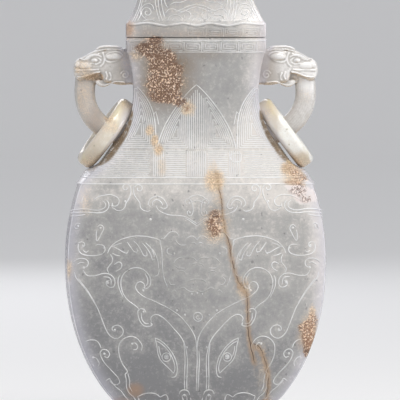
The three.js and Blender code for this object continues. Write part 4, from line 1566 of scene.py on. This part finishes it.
class VASE_OT_rings(bpy.types.Operator):
    """Spin the two loose rings from a rounded band section"""

    bl_idname = "vase.rings"
    bl_label = "Loose rings"

    def execute(self, context):
        rounding = context.scene.vase_sizes.ring_rounding
        middle = RING_OUTER - RING_THICK / 2
        facets = 36
        half_facet = math.radians(180 / facets)
        for name, side in (("left_ring", -1), ("right_ring", 1)):
            low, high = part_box(name)
            clean_slate()
            bpy.ops.mesh.primitive_circle_add(
                vertices=facets, radius=rounding, location=(middle, 0, 0),
                rotation=(math.pi / 2, half_facet, 0),
            )
            ring = settle(context.object)
            for way in (-1, 1):
                pick(ring, lambda place: way * (place.x - middle) > 0)
                bpy.ops.transform.translate(value=(way * (RING_THICK / 2 - rounding), 0, 0))
                pick(ring, lambda place: way * place.z > 0)
                bpy.ops.transform.translate(value=(0, 0, way * (RING_WIDE / 2 - rounding)))
            bpy.ops.mesh.select_all(action="SELECT")
            bpy.ops.mesh.spin(steps=160, angle=2 * math.pi, center=(0, 0, 0), axis=(0, 0, 1))
            weld(ring, 0.01 * MM)
            ring.name = ring.data.name = name + "_band"
            turn = Matrix.Rotation(side * (math.pi / 2 - RING_LEAN), 4, "Y")
            turn = turn @ Matrix.Rotation(RING_SWAY, 4, "X")
            ring.data.transform(Matrix.Translation((low + high) / 2) @ turn)
            polish(ring)
            # The right ring is painted paler than the left, where more light falls
            dress(ring, stone_material("ring_jade"), name, "ring_stone", name, levels=(0.62, 0.85))
        return {"FINISHED"}


# The cover's rim, and the height of its upright band
COVER_RIM = COVER_LOW.z + FLANGE_DEPTH + 0.3 * MM
RIM_HEIGHT = 7.9 * MM
# Between the flange and the neck's bore, and through the flange
FLANGE_GAP = 0.6 * MM
COVER_WALL = 4.5 * MM
# Height above the table or the knob's foot, half width and half depth, in millimetres
TABLE_EDGE = ((0.2, 31.1, 14.2), (0.6, 31.4, 14.5), (1.6, 31.4, 14.5), (2.6, 31.4, 14.5),
              (3.1, 31.1, 14.2), (3.4, 30.2, 13.3))
KNOB = ((0.02, 13.5, 7.8), (0.5, 12.6, 7.1), (1.6, 12.2, 7.0), (2.8, 13.4, 7.8), (4.2, 15.5, 8.9),
        (5.4, 16.0, 9.2), (6.8, 15.6, 8.9), (8.2, 14.4, 8.0), (9.2, 12.0, 6.6), (9.9, 8.6, 4.8),
        (10.2, 4.5, 2.6), (10.2, 0.01, 0.01))


class VASE_OT_cover(bpy.types.Operator):
    """Build the cover: rim, concave shoulder, table, knob, flange and hollow"""

    bl_idname = "vase.cover"
    bl_label = "Cover"

    def execute(self, context):
        rounding = context.scene.vase_sizes.corner
        foot = COVER_LOW.z
        bore = inner_level(MOUTH_TOP)
        inner_x, inner_y = (half - FLANGE_GAP - COVER_WALL
                            for half in (bore.corner_x, bore.corner_y))
        top = MOUTH_TOP + 14.0 * MM
        levels = [
            Level(z, inner_x * share, inner_y * share, 0, bore.bow_y * share, 5 * MM * share)
            for z, share in ((top, 1e-4), (top, 0.5), (COVER_RIM + RIM_HEIGHT, 0.94),
                             (foot + 0.3 * MM, 1.0), (foot, 1.02))
        ]
        for z, inset in ((foot, 0.3), (foot + 0.3 * MM, 0.0), (COVER_RIM, 0.0)):
            levels.append(Level(z, bore.corner_x - FLANGE_GAP - inset * MM,
                                bore.corner_y - FLANGE_GAP - inset * MM, 0, bore.bow_y,
                                INNER_ROUNDING))
        for z, x, y in cover_rows():
            bow = NECK_BOW * y / MOUTH_HALF[1]
            levels.append(Level(z, x, y - bow, 0.3 * MM * min(x / MOUTH_HALF[0], 1), bow, rounding))
        cover = soften(fit_grid("cover_stone", [level.outline(40, 12, 6) for level in levels]))
        dress(cover, stone_material("vase_jade"), "cover", "cover_stone", "cover")
        return {"FINISHED"}


def cover_rows():
    """Height, half-width and half-depth of the cover's outside, from the rim up"""
    half_x, half_y = MOUTH_HALF
    shoulder = COVER_RIM + RIM_HEIGHT
    rows = [(COVER_RIM + up * MM, half_x - inset * MM, half_y - inset * MM)
            for up, inset in ((0, 0.5), (0.15, 0.15), (0.5, 0), (2, 0), (4, 0), (6, 0), (7.4, 0))]
    rows.append((shoulder, half_x - 0.2 * MM, half_y - 0.2 * MM))
    for i in range(1, 25):
        up = i / 24
        draw = 1 - (1 - up) ** 1.3
        rows.append((shoulder + up * 18.2 * MM, lerp(half_x - 0.6 * MM, 30.6 * MM, draw),
                     lerp(half_y - 0.6 * MM, 13.7 * MM, draw)))
    for base, profile in ((26.1, TABLE_EDGE), (29.5, KNOB)):
        for up, x, y in profile:
            rows.append((COVER_RIM + base * MM + up * MM, x * MM, y * MM))
    return rows


COVER_RELIEF = (
    ((176, 9.6), (182, 7.2), (189, 4), (196.5, 2.2)),
    ((178, 12), (184, 9.6), (190, 6.6), (196.5, 5)),
    ((166, 11), (169, 7.6), (173.6, 7), (178, 9), (182, 9.4), (186, 8.8), (190, 10.6),
     (191, 14.2), (188.4, 17.2), (184.8, 16), (185, 13)),
    ((168, 18.4), (170, 14.6), (174.6, 12.8), (179, 13.6), (182.4, 16.4), (182, 19)),
    ((172, 18.6), (174.6, 16.4), (177.6, 17.4)),
    ((192, 19.4), (194, 16.8), (196.5, 16)),
    ((193, 12.4), (196.5, 11.4)),
    ((163, 19), (160.6, 12), (159, 4), (158.6, -4)),
    ((160, 19.6), (157.8, 12), (156.2, 4), (155.6, -4)),
    ((165.6, 17), (163.6, 10), (162.2, 3), (161.8, -5)),
    ((168, 5.6), (165.6, 1), (164.8, -5)),
    curl(147.6, 10.4, 6.4, 100, 1.5, 0.16),
    ((138, 18.6), (141, 13), (141.2, 8), (144, 3.4), (149, 1.6), (153, 3.6), (154.6, 8)),
    ((143, 19.4), (147.6, 17.6), (152, 18), (156.4, 20)),
    ((135, 19.6), (138.4, 12), (141.2, 5.6), (143, -2)),
    ((132.8, 19.8), (136, 13), (138.8, 6.6), (140.8, 0), (141.8, -5)),
    ((145.4, 0), (148, -3.6), (153, -4.4)),
    ((170, 3), (175, 0.4), (181, 0.2), (186.6, -2), (191, -4.4), (196.5, -5.4)),
    ((173, -2), (178, -4.4), (184, -5.6)),
)
COVER_SCALLOP = ((129.4, 22.6), (135, 22.4), (141, 21.6), (150, 21.2), (158, 22.6), (165, 23.7),
                 (173, 22.8), (183, 21.4), (190, 22.4), (196.5, 23.6))


def on_cover(x, y, proud=0.0):
    """The place on the cover's front shoulder under a point of the drawing"""
    x, z = from_drawing(x, y)
    rows = cover_rows()
    heights = [row[0] for row in rows]
    half_x, half_y = (float(np.interp(z, heights, [row[i] for row in rows])) for i in (1, 2))
    bow = NECK_BOW * half_y / MOUTH_HALF[1]
    u = min(max(x / half_x, -1.0), 1.0)
    return Vector((min(max(x, -half_x), half_x), -(half_y - bow * u * u + proud), z))


class VASE_OT_cover_relief(bpy.types.Operator):
    """Raise the scalloped edge, the curls and the brow lines on the cover"""

    bl_idname = "vase.cover_relief"
    bl_label = "Cover relief"

    def execute(self, context):
        sizes = context.scene.vase_sizes
        strokes = list(COVER_RELIEF) + mirrored(COVER_RELIEF)
        lines = [laid(flow(stroke), on_cover) for stroke in strokes]
        fine = threads("cover_lines", lines, sizes.fine_thread)
        frets = [key_fret(AXIS + FRET_PITCH * (n - 0.46), 26.4, 0.92 * FRET_PITCH, 8.6, -1)
                 for n in range(4)]
        worn_and_lit = fine_lines("rim_frets", frets, on_cover)
        edge = list(COVER_SCALLOP) + mirrored([COVER_SCALLOP])[0][::-1][1:]
        rim = threads("scallop", [laid(flow(edge), on_cover)], 2.1 * sizes.thread)
        front_and_back(join([fine, rim, worn_and_lit], "cover_mask"), "cover_mask", "thread_jade", "cover",
                       "cover_stone")
        return {"FINISHED"}


# Name, place, power, size across and colour of each soft lamp
LAMPS = (
    ("key", (0.35, -0.75, 1.25), 10.4, 0.6, (1.0, 0.985, 0.96)),
    ("right", (1.3, -0.5, 0.35), 3.8, 0.6, (0.97, 0.98, 1.0)),
    ("left", (-1.2, -0.7, 0.45), 1.6, 0.6, (1.0, 1.0, 1.0)),
    ("back", (-0.4, 1.5, 0.9), 5.0, 0.9, (0.94, 0.95, 1.0)),
)
LAMP_TARGET = Vector((0, 0, 0.14))
FLOOR_HALF = 10.0
# The camera looks from a distance, a little from above and from the left
CAMERA_TARGET = Vector((2.6 * MM, 0, 135.5 * MM))
CAMERA_DISTANCE = 2.0
CAMERA_RISE = math.radians(2.0)
CAMERA_TURN = math.radians(-1.7)
CAMERA_SENSOR = 36.0
# Width of what the camera sees at the vase
VIEW_WIDTH = 0.224


class VASE_OT_stage(bpy.types.Operator):
    """Set the pale floor, the soft lamps and the camera"""

    bl_idname = "vase.stage"
    bl_label = "Stage"

    def execute(self, context):
        scene = context.scene
        clean_slate()

        # A floor that sweeps up behind the vase
        bpy.ops.mesh.primitive_plane_add(size=2 * FLOOR_HALF, location=(0, 0, -0.2 * MM))
        floor = context.object
        floor.name = "floor"
        rear = 0.9 * FLOOR_HALF
        pick(floor, lambda place: place.y > rear, "EDGE")
        bpy.ops.mesh.extrude_region_move(TRANSFORM_OT_translate={"value": (0, 0, 0.8 * FLOOR_HALF)})
        pick(floor, lambda place: place.y > rear and place.z < 1, "EDGE")
        bpy.ops.mesh.bevel(offset=0.35 * FLOOR_HALF, segments=32)
        settle(polish(floor))
        g = Graph("pale_floor")
        for socket, value in (("Base Color", (0.80, 0.79, 0.78, 1)), ("Roughness", 0.8),
                              ("Emission Color", (1, 1, 1, 1))):
            g.shader.inputs[socket].default_value = value
        seen = g.node("ShaderNodeLightPath").outputs["Is Camera Ray"]
        g.put(g.shader.inputs["Emission Strength"], 0.12 * Value(g, seen))
        floor.data.materials.append(g.material)

        scene.world = scene.world or bpy.data.worlds.new("studio")
        scene.world.use_nodes = True
        back = scene.world.node_tree.nodes["Background"]
        back.inputs["Color"].default_value = (0.93, 0.95, 1.0, 1)
        back.inputs["Strength"].default_value = 0.55
        for name, place, power, size, shade in LAMPS:
            lamp = bpy.data.lights.new(name, "AREA")
            lamp.energy = power
            lamp.size = size
            lamp.color = shade
            holder = bpy.data.objects.new(name, lamp)
            holder.location = place
            aim = LAMP_TARGET - Vector(place)
            holder.rotation_euler = aim.to_track_quat("-Z", "Y").to_euler()
            scene.collection.objects.link(holder)

        camera = bpy.data.cameras.new("camera")
        camera.sensor_width = CAMERA_SENSOR
        camera.lens = CAMERA_SENSOR * CAMERA_DISTANCE / VIEW_WIDTH
        camera.clip_end = 20
        holder = bpy.data.objects.new("camera", camera)
        level = CAMERA_DISTANCE * math.cos(CAMERA_RISE)
        holder.location = CAMERA_TARGET + Vector((
            level * math.sin(CAMERA_TURN), -level * math.cos(CAMERA_TURN),
            CAMERA_DISTANCE * math.sin(CAMERA_RISE),
        ))
        holder.rotation_euler = (math.pi / 2 - CAMERA_RISE, 0, CAMERA_TURN)
        scene.collection.objects.link(holder)
        scene.camera = holder
        scene.view_settings.view_transform = "Standard"
        return {"FINISHED"}


class VASE_PT_panel(bpy.types.Panel):
    """Lists the vase's sizes, colours and steps"""

    bl_label = "Carved jade vase"
    bl_idname = "VASE_PT_panel"
    bl_space_type = "VIEW_3D"
    bl_region_type = "UI"
    bl_category = "Vase"

    def draw(self, context):
        for group in (context.scene.vase_sizes, context.scene.vase_colours):
            for name in group.__annotations__:
                self.layout.prop(group, name)
        for step in STEPS:
            self.layout.operator(step.bl_idname)


STEPS = (
    VASE_OT_body, VASE_OT_face_relief, VASE_OT_neck_relief, VASE_OT_handles, VASE_OT_rings,
    VASE_OT_cover, VASE_OT_cover_relief, VASE_OT_stage,
)
CLASSES = (VaseSizes, VaseColours, *STEPS, VASE_PT_panel)


def register():
    for cls in CLASSES:
        bpy.utils.register_class(cls)
    bpy.types.Scene.vase_sizes = bpy.props.PointerProperty(type=VaseSizes)
    bpy.types.Scene.vase_colours = bpy.props.PointerProperty(type=VaseColours)


def unregister():
    del bpy.types.Scene.vase_colours
    del bpy.types.Scene.vase_sizes
    for cls in reversed(CLASSES):
        bpy.utils.unregister_class(cls)


def main():
    register()
    bpy.ops.vase.body()
    bpy.ops.vase.face_relief()
    bpy.ops.vase.neck_relief()
    bpy.ops.vase.handles()
    bpy.ops.vase.rings()
    bpy.ops.vase.cover()
    bpy.ops.vase.cover_relief()
    bpy.ops.vase.stage()


if __name__ == "__main__":
    main()
